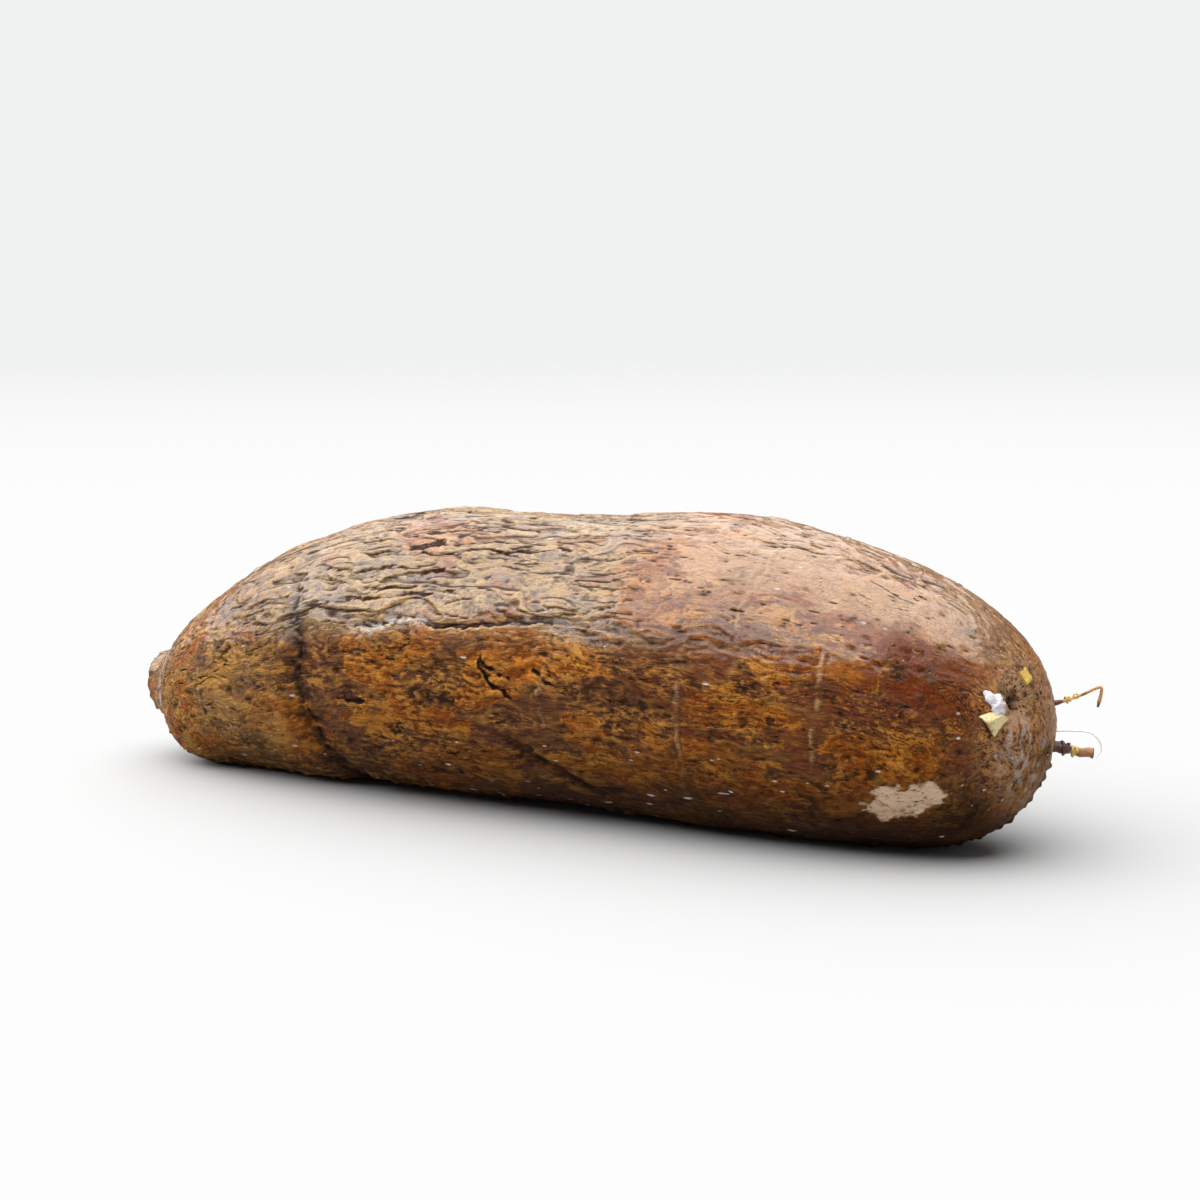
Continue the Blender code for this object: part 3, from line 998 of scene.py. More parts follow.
# One side of each end, picked by which way its normal faces, is tinted pale: a painted sheen on the rim.
tip_side = smooth_step(normals @ (0.87, 0.47, 0.0), 0.84, 0.97) * smooth_step(share, 0.90, 0.96)
neck_side = smooth_step(normals @ (-0.90, -0.38, 0.10), 0.86, 0.97) * smooth_step(share, 0.12, 0.09)
marks["bloom"] = np.maximum(tip_side, neck_side) * smooth_step(share, 0.02, 0.03)
marks["lobe"] = zone((-0.1, 0.25), (-60, 240), 0.02, 30)
marks["papery"] = papery
marks["rust"] = np.maximum(
    zone((0.875, 0.965), (12, 46), 0.025, 8), 0.45 * zone((0.64, 0.96), (-45, 50), 0.05, 14)
)
# The upper side of the tip, given a paler rosy tan: partly the bark's tone, partly painted sheen.
marks["rosy"] = zone((0.66, 0.965), (34, 130), 0.05, 12)
calm = smooth_step(ring_radius, 0.3, 2.0)
skin_points = base + normals * (height * calm)[..., None]
skin_points[..., 2] = np.maximum(skin_points[..., 2], 0)


def pole_of(row):
    return skin_points[row].mean(0)


def net_faces():
    """Quads between the rows, and a fan of triangles at each pole."""
    row, column = np.meshgrid(np.arange(ROWS - 1), np.arange(COLUMNS), indexing="ij")
    after = (column + 1) % COLUMNS
    quads = np.stack(
        [
            row * COLUMNS + column,
            row * COLUMNS + after,
            (row + 1) * COLUMNS + after,
            (row + 1) * COLUMNS + column,
        ],
        2,
    ).reshape(-1, 4)
    ring = np.arange(COLUMNS)
    neck, tip = ROWS * COLUMNS, ROWS * COLUMNS + 1
    last = (ROWS - 1) * COLUMNS
    neck_fan = np.stack([np.full(COLUMNS, neck), (ring + 1) % COLUMNS, ring], 1)
    tip_fan = np.stack([np.full(COLUMNS, tip), last + ring, last + (ring + 1) % COLUMNS], 1)
    return quads, neck_fan, tip_fan


def net_map():
    """The unrolled bark: travel across, turn up, with the seam on the last column."""
    across = np.linspace(0.004, 0.996, ROWS)
    up = np.linspace(0, 1, COLUMNS + 1)
    row, column = np.meshgrid(np.arange(ROWS - 1), np.arange(COLUMNS), indexing="ij")
    corners = ((0, 0), (0, 1), (1, 1), (1, 0))
    quads = np.stack([np.stack([across[row + r], up[column + c]], 2) for r, c in corners], 2)
    middle = (up[:-1] + up[1:]) / 2
    neck = np.stack(
        [np.stack([0 * middle, middle], 1), np.stack([0 * middle + across[0], up[1:]], 1),
         np.stack([0 * middle + across[0], up[:-1]], 1)], 1
    )
    tip = np.stack(
        [np.stack([0 * middle + 1, middle], 1), np.stack([0 * middle + across[-1], up[:-1]], 1),
         np.stack([0 * middle + across[-1], up[1:]], 1)], 1
    )
    return np.concatenate([quads.reshape(-1, 2), neck.reshape(-1, 2), tip.reshape(-1, 2)])


def build_skin():
    """The skin's mesh, with its marks as attributes and its unrolled map."""
    quads, neck_fan, tip_fan = net_faces()
    points = np.concatenate([skin_points.reshape(-1, 3), [pole_of(0), pole_of(-1)]]) * MM
    corners = np.concatenate([quads.ravel(), neck_fan.ravel(), tip_fan.ravel()])
    sizes = np.concatenate([np.full(len(quads), 4), np.full(2 * COLUMNS, 3)])
    mesh = bpy.data.meshes.new("waxed_bark")
    mesh.vertices.add(len(points))
    mesh.vertices.foreach_set("co", points.astype(np.float32).ravel())
    mesh.loops.add(len(corners))
    mesh.loops.foreach_set("vertex_index", corners.astype(np.int32))
    mesh.polygons.add(len(sizes))
    starts = np.concatenate([[0], np.cumsum(sizes)[:-1]]).astype(np.int32)
    mesh.polygons.foreach_set("loop_start", starts)
    mesh.update(calc_edges=True)
    mesh.polygons.foreach_set("use_smooth", np.ones(len(sizes), bool))
    unrolled = mesh.uv_layers.new(name="OFBake")
    unrolled.data.foreach_set("uv", net_map().astype(np.float32).ravel())
    for name, values in marks.items():
        layer = mesh.attributes.new("mark_" + name, "FLOAT", "POINT")
        ends = [values[0].mean(), values[-1].mean()]
        layer.data.foreach_set("value", np.concatenate([values.ravel(), ends]).astype(np.float32))
    layer = mesh.attributes.new("bark_run", "FLOAT_VECTOR", "POINT")
    runs = np.concatenate([bark_run.reshape(-1, 3), [bark_run[0].mean(0), bark_run[-1].mean(0)]])
    layer.data.foreach_set("vector", runs.astype(np.float32).ravel())
    if mesh.validate():
        print("the skin needed repair")
    return mesh


skin_mesh = build_skin()
skin = bpy.data.objects.new("waxed_bark", skin_mesh)
bpy.context.scene.collection.objects.link(skin)
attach(skin, "root")
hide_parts("tuber")
print("skin:", len(skin_mesh.vertices), "points,", len(skin_mesh.polygons), "faces")

# %% [markdown]
# ## The waxed bark finish
# Under the wax the bark is a patchwork: ochre where the outer layer rubbed away, deep brown where it
# held, dry tan paper on top that is also lightened as painted top light, rust at the smooth tip, and
# black-brown in every hollow, crack and underside, as dirt and painted shade. Ridges and lips are
# lightened as painted highlights, and a rim on each end and the top of the tip carry painted sheen.
# Noise of several sizes lays the patchwork and the marks steer it. The wax is the shader's coat.

# %% Bark finish
DEEP_BROWN = (0.022, 0.008, 0.003)
PLUM = (0.076, 0.028, 0.017)
GOLD = (0.440, 0.168, 0.020)
WARM_BROWN = (0.165, 0.038, 0.004)
OCHRE = (0.340, 0.098, 0.007)
BRIGHT_OCHRE = (0.540, 0.240, 0.042)
ORANGE = (0.320, 0.080, 0.004)
DRY_TAN = (0.370, 0.220, 0.072)
DRY_GOLD = (0.420, 0.210, 0.050)
DRY_LILAC = (0.210, 0.140, 0.100)
DRY_BROWN = (0.105, 0.052, 0.028)
ROSY = (0.430, 0.235, 0.115)
TIP_BROWN = (0.520, 0.280, 0.140)
RUST = (0.125, 0.019, 0.001)
# Near black: dark stains, and the painted shade in cracks and holes.
SOOT_AND_SHADE = (0.009, 0.004, 0.002)
PALE_LIP = (0.460, 0.290, 0.140)
CORK = (0.430, 0.255, 0.135)
CREAM_LAYER = (0.740, 0.530, 0.360)
WAX_WHITE = (0.620, 0.570, 0.530)
PITH = (0.140, 0.062, 0.028)
CRACK_BROWN = (0.048, 0.017, 0.009)
PAINTED_SHEEN_TINT = (0.600, 0.420, 0.300)


def bark_finish():
    """The material of the whole skin."""
    bark = Finish(bpy.data.materials.new("waxed_bark"))
    place = bark.attribute("bark_run", "Vector")
    mark = {name: bark.attribute("mark_" + name) for name in marks}
    regions = bark.noise(place, 26.0, 12.0, 7, 2.0, 0.5)
    patches = bark.noise(place, 12.0, 6.0, 2, 3.0, 0.6)
    blotch = bark.noise(place, 6.0, 3.2, 5, 3.0, 0.6)
    mottle = bark.noise(place, 2.6, 1.3, 1, 4.0, 0.65)
    flecks = bark.noise(place, 1.5, 0.8, 8, 3.0, 0.6)
    streaks = bark.noise(place, 4.0, 0.5, 3, 3.0, 0.65)
    grain = bark.noise(place, 0.8, 0.5, 4, 2.0, 0.6)
    chip = bark.chips(place, 1.7, 1.0, 1)
    torn = bark.torn(bark.noise(place, 8.0, 1.9, 6, 3.0, 0.55), 6.0)
    busy = bark.rise(bark.noise(place, 20.0, 8.0, 10, 2.0, 0.5), 0.40, 0.60)
    calm = (1 - mark["papery"] * 0.55) * (1 - mark["rosy"] * 0.80) * (0.30 + busy * 0.70)
    calm = calm * (1 - mark["tip_end"] * 0.65)

    colour = bark.blend(bark.rise(mottle * 0.5 + blotch * 0.5, 0.46, 0.54), WARM_BROWN, OCHRE)
    orange_bits = patches * 0.6 + flecks * 0.4 + mark["orange"] * 0.06
    colour = bark.blend(bark.rise(orange_bits, 0.53, 0.58) * 0.8, colour, ORANGE)
    golden = bark.noise(place, 14.0, 5.0, 9, 3.0, 0.6) * 0.7 + mottle * 0.3 + mark["gold"] * 0.08
    colour = bark.blend(bark.rise(golden, 0.54, 0.57) * 0.75, colour, GOLD)
    # A little more plum where the skin faces down: painted shade.
    plum_bits = regions * 0.60 + blotch * 0.27 + mottle * 0.13 + mark["lower"] * 0.025
    plum_bits = plum_bits + mark["plum"] * 0.10 - (mark["orange"] + mark["gold"]) * 0.06
    colour = bark.blend(bark.rise(plum_bits, 0.505, 0.53) * 0.85, colour, PLUM)
    outline = bark.rise(plum_bits, 0.496, 0.502) * bark.rise(plum_bits, 0.512, 0.506)
    colour = bark.blend(outline * bark.rise(grain, 0.45, 0.55) * 0.6, colour, BRIGHT_OCHRE)
    # Rosy tan over the top of the tip: the bark's tone, partly painted sheen.
    colour = bark.blend(mark["rosy"] * bark.rise(plum_bits, 0.40, 0.46) * 0.80, colour, ROSY)
    rusty = mark["rust"] * bark.rise(patches + mark["rust"] * 0.12, 0.44, 0.58)
    colour = bark.blend(rusty * 0.9, colour, RUST)
    lobe_gold = mark["lobe"] * bark.rise(golden - mark["plum"] * 0.15, 0.49, 0.54)
    colour = bark.blend(lobe_gold * 0.7, colour, DRY_GOLD)
    # Dry paper on top: pale bark, also lightened as painted top light.
    dry = mark["papery"].most(mark["lobe"] * 0.35)
    paper = bark.blend(bark.rise(patches * 0.6 + mottle * 0.4, 0.50, 0.56), DRY_TAN, DRY_LILAC)
    paper = bark.blend(bark.rise(blotch * 0.5 + flecks * 0.5, 0.52, 0.58) * 0.8, paper, DRY_BROWN)
    dry_bits = bark.rise(mottle * 0.3 + regions * 0.7, 0.42, 0.50)
    colour = bark.blend(dry * dry_bits * 0.85, colour, paper)
    # The tip end paler tan: its own tan bark, partly painted sheen.
    tip_bits = bark.rise(mottle * 0.5 + streaks * 0.5, 0.56, 0.46)
    colour = bark.blend(mark["tip_end"] * tip_bits * 0.80, colour, TIP_BROWN)
    dark_bits = bark.rise(blotch * 0.60 + mottle * 0.25 + flecks * 0.15, 0.54, 0.58)
    colour = bark.blend(dark_bits * calm * 0.90, colour, DEEP_BROWN)
    colour = bark.blend(bark.rise(streaks, 0.54, 0.60) * calm * 0.80, colour, DEEP_BROWN)
    colour = bark.blend(bark.rise(flecks, 0.57, 0.62) * calm * 0.75, colour, DEEP_BROWN)
    # Pale rubbed bark, also laid on ridges, lips and chip flecks as a painted highlight.
    wear_and_highlight = bark.blend(mark["papery"].most(mark["rosy"]), BRIGHT_OCHRE, PALE_LIP)
    shaded = (1 - mark["rust"] * 0.8) * (0.30 + busy * 0.70)
    colour = bark.blend(bark.rise(flecks * 0.6 + patches * 0.4, 0.44, 0.39) * shaded * 0.6, colour, wear_and_highlight)
    colour = bark.blend(bark.rise(streaks, 0.41, 0.36) * shaded * 0.55, colour, wear_and_highlight)
    # Pale flecks on the chips: painted glints.
    colour = bark.blend(bark.rise(chip, 0.88, 0.94) * shaded * 0.45, colour, wear_and_highlight)
    # A dark line at the foot of each torn step: painted shade and dirt.
    colour = bark.blend(bark.rise(torn, 0.10, 0.02) * calm * 0.5, colour, SOOT_AND_SHADE)
    smooth_there = 1 - mark["papery"].most(mark["rosy"]) * 0.6
    # The ridges lightened: painted highlight.
    colour = bark.blend(mark["ridge"] * shaded * smooth_there * 0.50, colour, wear_and_highlight)
    # The lips of cracks and flakes lightened: painted highlight, with some rubbed wear.
    colour = bark.blend(mark["lip"] * 0.60, colour, wear_and_highlight)
    colour = bark.blend(mark["ring"] * bark.rise(grain, 0.30, 0.60) * 0.60, colour, PALE_LIP)
    # The hollows darkened: painted shade, with some dirt.
    colour = bark.blend(mark["hollow"] * (1 - mark["rosy"] * 0.5) * 0.75, colour, DEEP_BROWN)
    # Darker underneath: painted shade, with some dark dirt.
    colour = bark.blend(mark["under"] * (1 - mark["tip_end"] * 0.6) * 0.85, colour, DEEP_BROWN)
    colour = bark.blend(mark["stain"] * 0.85, colour, SOOT_AND_SHADE)
    corky = bark.blend(bark.rise(grain * 0.5 + flecks * 0.5, 0.53, 0.59), CORK, DEEP_BROWN)
    colour = bark.blend(mark["cork"] * 0.85, colour, corky)
    colour = bark.blend(mark["scrape"] * 0.8, colour, PALE_LIP)
    scraped = bark.blend(bark.rise(flecks * 0.6 + mottle * 0.4, 0.52, 0.60) * 0.7, CREAM_LAYER, OCHRE)
    colour = bark.blend(mark["patch"], colour, scraped)
    colour = bark.blend(mark["wart"] * 0.7, colour, SOOT_AND_SHADE)
    # Cracks and pits darkened: painted shade, with the darker inner bark.
    crack_shade_tint = bark.blend(mark["papery"].most(mark["rosy"]) * 0.85, SOOT_AND_SHADE, CRACK_BROWN)
    colour = bark.blend(bark.rise(mark["crack"], 0.15, 0.60) * 0.95, colour, crack_shade_tint)
    cut_wood = bark.blend(bark.rise(grain, 0.40, 0.60), PITH, WARM_BROWN)
    colour = bark.blend(mark["cut_face"], colour, cut_wood)
    # Pale tint on one side of each end: painted sheen.
    bloom = mark["bloom"] * bark.rise(flecks * 0.5 + grain * 0.5, 0.42, 0.56)
    colour = bark.blend(bloom * 0.60, colour, PAINTED_SHEEN_TINT)
    whitened = mark["wax_crust"].most(bark.rise(mark["speck"], 0.35, 0.7))
    colour = bark.blend(whitened * 0.8, colour, WAX_WHITE)
    # The holes: painted shade.
    colour = bark.blend(mark["hole"], colour, SOOT_AND_SHADE)

    wet = (1 - mark["lower"] * 0.97) * (1 - mark["lobe"] * 0.35) * (1 - mark["papery"] * 0.25)
    wet = wet * (1 - mark["rust"] * 0.80) * (1 - mark["tip_end"] * 0.75)
    dull = mark["cork"].most(mark["patch"]).most(mark["cut_face"]).most(mark["crack"]).most(whitened)
    fine_bump = streaks * 0.5 + grain * 0.4 + mottle * 0.5 + chip * 0.10 + torn * 0.18
    bark.surface(
        Base_Color=colour,
        Roughness=0.50 + dull * 0.3 + (mottle - 0.5) * 0.25,
        Specular_IOR_Level=0.05,
        Coat_Weight=(1 - dull * 0.9) * (1 - mark["hollow"] * 0.6) * wet,
        Coat_Roughness=0.20,
        Coat_IOR=1.62,
        Normal=bark.bump(fine_bump, 1.0, 0.0013),
    )
    return bark.owner


skin_mesh.materials.append(bark_finish())
print("bark finish:", len(skin_mesh.materials[0].node_tree.nodes), "nodes")

# %% [markdown]
# ## Small pieces at the tip
# Four kinds of scrap cling to the wound: a folded kite of rind, a chip of yellow flesh, a drip of
# set wax and three dry rootlets. Two builders make them all. A plate is a grid bent over two sheets
# and closed at its rim. A strand is a tube swept along a smooth path, with its own thickness at
# every step. Both take a place on the frame and the axes of the surface there.

# %% Plates and strands
def skin_at(place):
    """The nearest place on the carved skin, and its three axes."""
    flat = np.linalg.norm(base - place, axis=2).argmin()
    row, column = np.unravel_index(flat, share.shape)
    normal = Vector(normals[row, column])
    level = Vector((0, 0, 1)).cross(normal).normalized()
    return skin_points[row, column], np.array([level, normal.cross(level), normal])


def own_noise(points, size, seed, octaves=2):
    """Noise in space, with round blobs of that size in mm."""
    return sum(
        0.5**octave * lattice_noise(points / size * 2**octave + seed * 1.7, seed + octave)
        for octave in range(octaves)
    )


def small_piece(name, points, faces, fields, slot, *stands_for):
    """An object from points in mm, its fields as attributes, riding on the root."""
    mesh = bpy.data.meshes.new(name)
    mesh.from_pydata([tuple(p) for p in points * MM], [], faces)
    mesh.polygons.foreach_set("use_smooth", np.ones(len(faces), bool))
    for field, values in fields.items():
        layer = mesh.attributes.new(field, "FLOAT", "POINT")
        layer.data.foreach_set("value", np.asarray(values, np.float32))
    layer = mesh.attributes.new("bark_run", "FLOAT_VECTOR", "POINT")
    layer.data.foreach_set("vector", points.astype(np.float32).ravel())
    piece = bpy.data.objects.new(name, mesh)
    bpy.context.scene.collection.objects.link(piece)
    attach(piece, "root")
    if stands_for:
        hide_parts(*stands_for)
    print(name + ":", len(points), "points")
    return piece


def plate(corners, size, thickness, bend, seed, cells=26):
    """Points, faces and rim of a closed four-cornered plate; bend(u, v) lifts it in mm."""
    u, v = np.meshgrid(np.linspace(0, 1, cells + 1), np.linspace(0, 1, cells + 1), indexing="ij")
    left, top, right, bottom = (np.array(c) * size for c in corners)
    flat = (
        ((1 - u) * (1 - v))[..., None] * left + (u * (1 - v))[..., None] * top
        + (u * v)[..., None] * right + ((1 - u) * v)[..., None] * bottom
    )
    inward = np.minimum(np.minimum(u, 1 - u), np.minimum(v, 1 - v)) * 2
    spots = np.dstack([flat, 0 * u])
    edge = np.stack([own_noise(spots, 1.1, seed), own_noise(spots, 1.1, seed + 5)], 2)
    flat = flat + 0.16 * edge * (1 - inward)[..., None] ** 2
    lift = bend(u, v) + 0.12 * own_noise(spots, 1.6, seed + 9)
    half = thickness / 2 * (0.35 + 0.65 * np.clip(inward * 5, 0, 1) ** 0.5)
    upper = np.dstack([flat, lift + half]).reshape(-1, 3)
    lower = np.dstack([flat, lift - half]).reshape(-1, 3)
    count = cells + 1
    quads = []
    for i, j in itertools.product(range(cells), range(cells)):
        a = i * count + j
        quads.append((a, a + 1, a + count + 1, a + count))
    faces = [tuple(reversed(q)) for q in quads]
    faces += [tuple(k + count * count for k in q) for q in quads]
    ring = [i * count for i in range(cells)] + [cells * count + j for j in range(cells)]
    ring += [i * count + cells for i in range(cells, 0, -1)] + [j for j in range(cells, 0, -1)]
    for a, b in zip(ring, ring[1:] + ring[:1]):
        faces.append((a, b, b + count * count, a + count * count))
    rim = np.concatenate([(1 - inward).ravel()] * 2)
    return np.concatenate([upper, lower]), faces, rim


def strand(path, radii, seed, sides=16, lumps=0.18):
    """Points, faces and run from 0 to 1 of a closed tube along the path."""
    way = np.gradient(path, axis=0)
    way /= np.linalg.norm(way, axis=1, keepdims=True)
    side = np.cross(way, (0.31, 0.17, 0.93))
    side /= np.linalg.norm(side, axis=1, keepdims=True)
    other = np.cross(way, side)
    turn = np.linspace(0, 2 * math.pi, sides, endpoint=False)
    ring = side[:, None] * np.cos(turn)[:, None] + other[:, None] * np.sin(turn)[:, None]
    bare = path[:, None] + ring * radii[:, None, None]
    rough = 1 + lumps * own_noise(bare, 0.9, seed)
    points = path[:, None] + ring * (radii[:, None] * rough)[..., None]
    count = len(path)
    faces = []
    for i, j in itertools.product(range(count - 1), range(sides)):
        k = (j + 1) % sides
        faces.append((i * sides + j, i * sides + k, (i + 1) * sides + k, (i + 1) * sides + j))
    first, last = count * sides, count * sides + 1
    for j in range(sides):
        k = (j + 1) % sides
        faces.append((first, k, j))
        faces.append((last, (count - 1) * sides + j, (count - 1) * sides + k))
    points = np.concatenate([points.reshape(-1, 3), [path[0], path[-1]]])
    run = np.concatenate([np.repeat(np.linspace(0, 1, count), sides), [0, 1]])
    return points, faces, run


def joined(*parts):
    """Several (points, faces, run) as one."""
    points, faces, runs, start = [], [], [], 0
    for part_points, part_faces, run in parts:
        points.append(part_points)
        faces += [tuple(k + start for k in face) for face in part_faces]
        runs.append(run)
        start += len(part_points)
    return np.concatenate(points), faces, np.concatenate(runs)


print("builders: plate and strand")

# %% [markdown]
# ## The kite of rind, the chip and the wax
# The kite is a thick scrap of rind folded down its length, pale on both facets and browned where it
# tore. The chip is harder and flatter, and stands in the cork. The wax dripped into the wound and
# set as a lumpy white tongue. All three sit a little into the skin, so that no gap shows.

# %% Kite, chip and wax
KITE = ((-0.50, 0.30), (0.0, 0.45), (0.50, 0.15), (0.0, -0.55))
KITE_SIZE, KITE_THICK = (6.8, 5.2), 0.9


def fold_kite(u, v):
    """The kite's fold: a ridge from its left corner to its foot."""
    return 1.0 - 2.2 * np.abs(v - 0.30 - 0.25 * u) + 0.5 * v


def flesh_finish(name, pale, deep, stain):
    """Dry flesh: pale, with fibres and a browner torn rim."""
    flesh = Finish(bpy.data.materials.new(name))
    place = flesh.attribute("bark_run", "Vector")
    rim = flesh.attribute("rim")
    fibres = flesh.noise(place, 2.2, 0.35, 1, 3.0, 0.6)
    cloud = flesh.noise(place, 1.4, 1.2, 2, 3.0, 0.6)
    colour = flesh.blend(flesh.rise(fibres, 0.42, 0.62), pale, deep)
    colour = flesh.blend(flesh.rise(cloud, 0.56, 0.70) * 0.6, colour, stain)
    colour = flesh.blend(flesh.rise(rim + (cloud - 0.5) * 0.8, 0.86, 1.05) * 0.55, colour, stain)
    return flesh.surface(
        Base_Color=colour,
        Roughness=0.62 + (cloud - 0.5) * 0.3,
        Specular_IOR_Level=0.35,
        Coat_Weight=0.25,
        Coat_Roughness=0.25,
        Normal=flesh.bump(fibres * 0.6 + cloud, 0.7, 0.0004),
    )


def lay(points, place, axes):
    """Local points, in mm, laid on the skin."""
    return place + points @ axes


place, axes = rind, rind_axes
points, faces, rim = plate(KITE, np.array(KITE_SIZE), KITE_THICK, fold_kite, 91)
points = lay(points + (0, 0, 0.1), place, axes)
kite = small_piece("rind_kite", points, faces, {"rim": rim}, "torn_flesh", "torn_rind")
kite.data.materials.append(
    flesh_finish("kite_flesh", (0.700, 0.590, 0.330), (0.560, 0.430, 0.190), (0.330, 0.200, 0.070))
)

place, axes = skin_at(beside(wound, wound_axes, *CHIP_OFFSET))
CHIP = ((-0.48, 0.28), (0.22, 0.50), (0.48, -0.28), (-0.24, -0.50))
points, faces, rim = plate(CHIP, np.array((3.0, 3.8)), 0.9, lambda u, v: 0.35 * u, 94, 16)
points = lay(points + (0, 0, 0.2), place, axes)
chip = small_piece("flesh_chip", points, faces, {"rim": rim}, "torn_flesh")
chip.data.materials.append(
    flesh_finish("chip_flesh", (0.640, 0.440, 0.090), (0.520, 0.330, 0.050), (0.300, 0.150, 0.020))
)

place, axes = skin_at(beside((wound + rind) / 2, rind_axes, *WAX_OFFSET))
WAX_PATH = ((-1.5, 3.0, -0.1), (-0.9, 1.6, 0.5), (0.2, 0.4, 0.8), (0.5, -1.2, 0.7), (0.0, -2.6, 0.3))
wax_line = smooth_path(WAX_PATH, 6)
WAX_STATIONS, WAX_RADII = (0, 0.15, 0.5, 0.85, 1), (0.4, 0.9, 1.5, 1.3, 0.5)
wax_radii = np.interp(np.linspace(0, 1, len(wax_line)), WAX_STATIONS, WAX_RADII)
points, faces, run = strand(lay(wax_line, place, axes), wax_radii, 96, 20, 0.45)
wax = small_piece("wax_drip", points, faces, {"rim": 0.5 * run}, "waxed_skin")
wax.data.materials.append(
    flesh_finish("set_wax", (0.640, 0.610, 0.660), (0.540, 0.500, 0.540), (0.420, 0.340, 0.320))
)

# %% [markdown]
# ## The rootlets
# Each rootlet is a strand that starts just under the skin and follows the same bends as the packed
# model's, so that it stays where its solid is. The knots are small curls of the same fibre wound
# round it. Colour runs along the strand, from a dark scab at the foot to a dry end.

# %% Rootlets


def bends_path(azimuth, rise, diameter, length, bends):
    """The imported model's path for a rootlet: out, aside and up, in shares of its length."""
    place, axes = tip_place(azimuth, rise)
    normal, sideways = axes[2], axes[0]
    foot = place + normal * (0.3 + diameter)
    out = [foot + (normal * o + sideways * a + np.array((0, 0, u))) * length for o, a, u in bends]
    return [place - normal * 1.2, foot, *out], axes


def fibre_finish(name, stops, roughness):
    """Dry fibre whose colour changes along the strand, at the stops given."""
    fibre = Finish(bpy.data.materials.new(name))
    place = fibre.attribute("bark_run", "Vector")
    run = fibre.attribute("rim")
    cloud = fibre.noise(place, 1.1, 0.9, 3, 3.0, 0.6)
    lines = fibre.noise(place, 0.5, 0.25, 4, 2.0, 0.5)
    at = run + (cloud - 0.5) * 0.10
    colour = fibre.blend(0.0, stops[0][1], stops[0][1])
    for place_on_run, shade in stops[1:]:
        colour = fibre.blend(fibre.rise(at, place_on_run - 0.02, place_on_run + 0.02), colour, shade)
    colour = fibre.blend(fibre.rise(lines, 0.55, 0.75) * 0.5, colour, SOOT_AND_SHADE)
    return fibre.surface(
        Base_Color=colour,
        Roughness=roughness + (cloud - 0.5) * 0.3,
        Specular_IOR_Level=0.4,
        Coat_Weight=0.2,
        Coat_Roughness=0.2,
        Normal=fibre.bump(lines + cloud, 0.6, 0.0003),
    )


def curl(middle, axes, radius, thickness, loops, seed, run):
    """A curl of fibre wound round a rootlet, all at one place along its run."""
    turn = np.linspace(0, loops * 2 * math.pi, int(14 * loops))
    path = middle + radius * (
        np.cos(turn)[:, None] * axes[0] + np.sin(turn)[:, None] * axes[1]
    ) + np.linspace(-0.6, 0.6, len(turn))[:, None] * axes[2]
    path += 0.25 * radius * np.stack([own_noise(path, 1.2, seed + k) for k in range(3)], 1)
    points, faces, _ = strand(path, np.full(len(path), thickness), seed, 8)
    return points, faces, np.full(len(points), run)


RED_SCAB, YELLOW_FIBRE = (0.120, 0.025, 0.012), (0.640, 0.420, 0.110)
ORANGE_FIBRE, RED_BROWN = (0.470, 0.230, 0.060), (0.230, 0.085, 0.025)
WHITE_FIBRE = (0.860, 0.840, 0.800)
SCAB, BROWN_FIBRE = (0.080, 0.030, 0.018), (0.330, 0.140, 0.055)

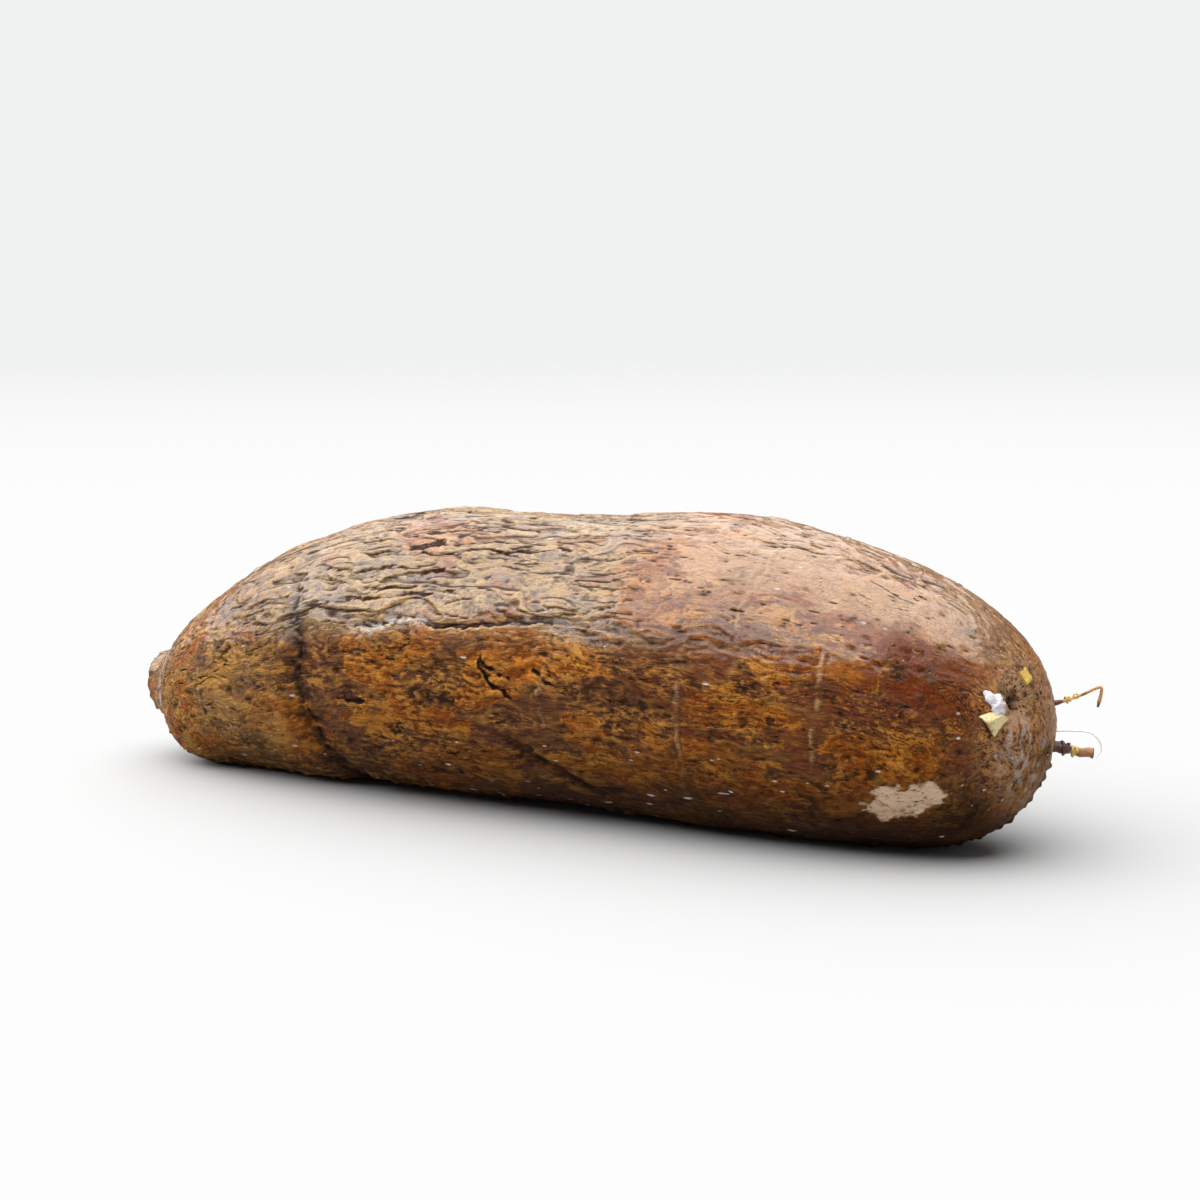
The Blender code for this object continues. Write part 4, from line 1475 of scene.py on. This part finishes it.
marks_of_thin, axes = bends_path(
    24, 7, 0.9, 8.5, ((0.45, 0.02, 0.08), (0.95, 0.00, 0.24), (1.00, 0.02, 0.08), (0.93, 0.03, -0.26))
)
line = smooth_path(marks_of_thin, 14)
radii = np.interp(
    np.linspace(0, 1, len(line)), (0, 0.18, 0.25, 0.40, 0.60, 0.80, 0.92, 1.0),
    (0.75, 0.50, 0.32, 0.30, 0.30, 0.32, 0.42, 0.25),
)
thin = joined(
    strand(line, radii, 101, 12),
    curl(line[20], axes, 0.62, 0.20, 1.6, 103, 0.30),
    curl(line[26] + (0, 0, 0.2), axes[[2, 1, 0]], 0.55, 0.17, 1.2, 104, 0.30),
)
rootlet = small_piece("thin_rootlet", thin[0], thin[1], {"rim": thin[2]}, "dry_rootlet", "rootlet_thin")
rootlet.data.materials.append(
    fibre_finish(
        "thin_fibre",
        ((0.0, RED_SCAB), (0.24, YELLOW_FIBRE), (0.42, RED_BROWN), (0.47, ORANGE_FIBRE), (0.93, RED_SCAB)),
        0.5,
    )
)

STUB_BENDS = ((0.35, 0.00, -0.04), (0.70, 0.02, 0.02), (1.00, 0.03, 0.06))
marks_of_stub, axes = bends_path(22, -11, 2.4, 5.8, STUB_BENDS)
line = smooth_path(marks_of_stub, 14)
radii = np.interp(
    np.linspace(0, 1, len(line)), (0, 0.22, 0.34, 0.46, 0.60, 0.93, 0.96, 1.0),
    (1.3, 1.15, 0.75, 0.65, 0.95, 1.10, 1.20, 1.12),
)
stub = joined(
    strand(line, radii, 111, 20, 0.16),
    curl(line[12], axes, 1.25, 0.35, 1.3, 113, 0.05),
    curl(line[24], axes, 0.95, 0.30, 1.5, 114, 0.42),
    curl(line[28] + (0, 0, 0.3), axes[[2, 1, 0]], 0.8, 0.22, 1.1, 115, 0.42),
)
rootlet = small_piece("stub_rootlet", stub[0], stub[1], {"rim": stub[2]}, "thick_rootlet", "rootlet_stub")
rootlet.data.materials.append(
    fibre_finish("stub_fibre", ((0.0, SCAB), (0.34, YELLOW_FIBRE), (0.52, BROWN_FIBRE), (0.97, SCAB)), 0.45)
)

marks_of_hair, axes = bends_path(
    30, -6, 0.5, 9.8,
    ((0.30, 0.02, 0.03), (0.70, 0.03, 0.03), (0.92, 0.02, -0.12), (0.98, 0.00, -0.34), (0.86, -0.02, -0.52)),
)
line = smooth_path(marks_of_hair, 12)
radii = np.interp(np.linspace(0, 1, len(line)), (0, 0.1, 0.7, 1.0), (0.32, 0.17, 0.14, 0.08))
hair = strand(line, radii, 121, 8, 0.12)
rootlet = small_piece("fine_hair", hair[0], hair[1], {"rim": hair[2]}, "pale_hair", "rootlet_hair")
rootlet.data.materials.append(fibre_finish("hair_fibre", ((0.0, RED_BROWN), (0.05, WHITE_FIBRE)), 0.6))
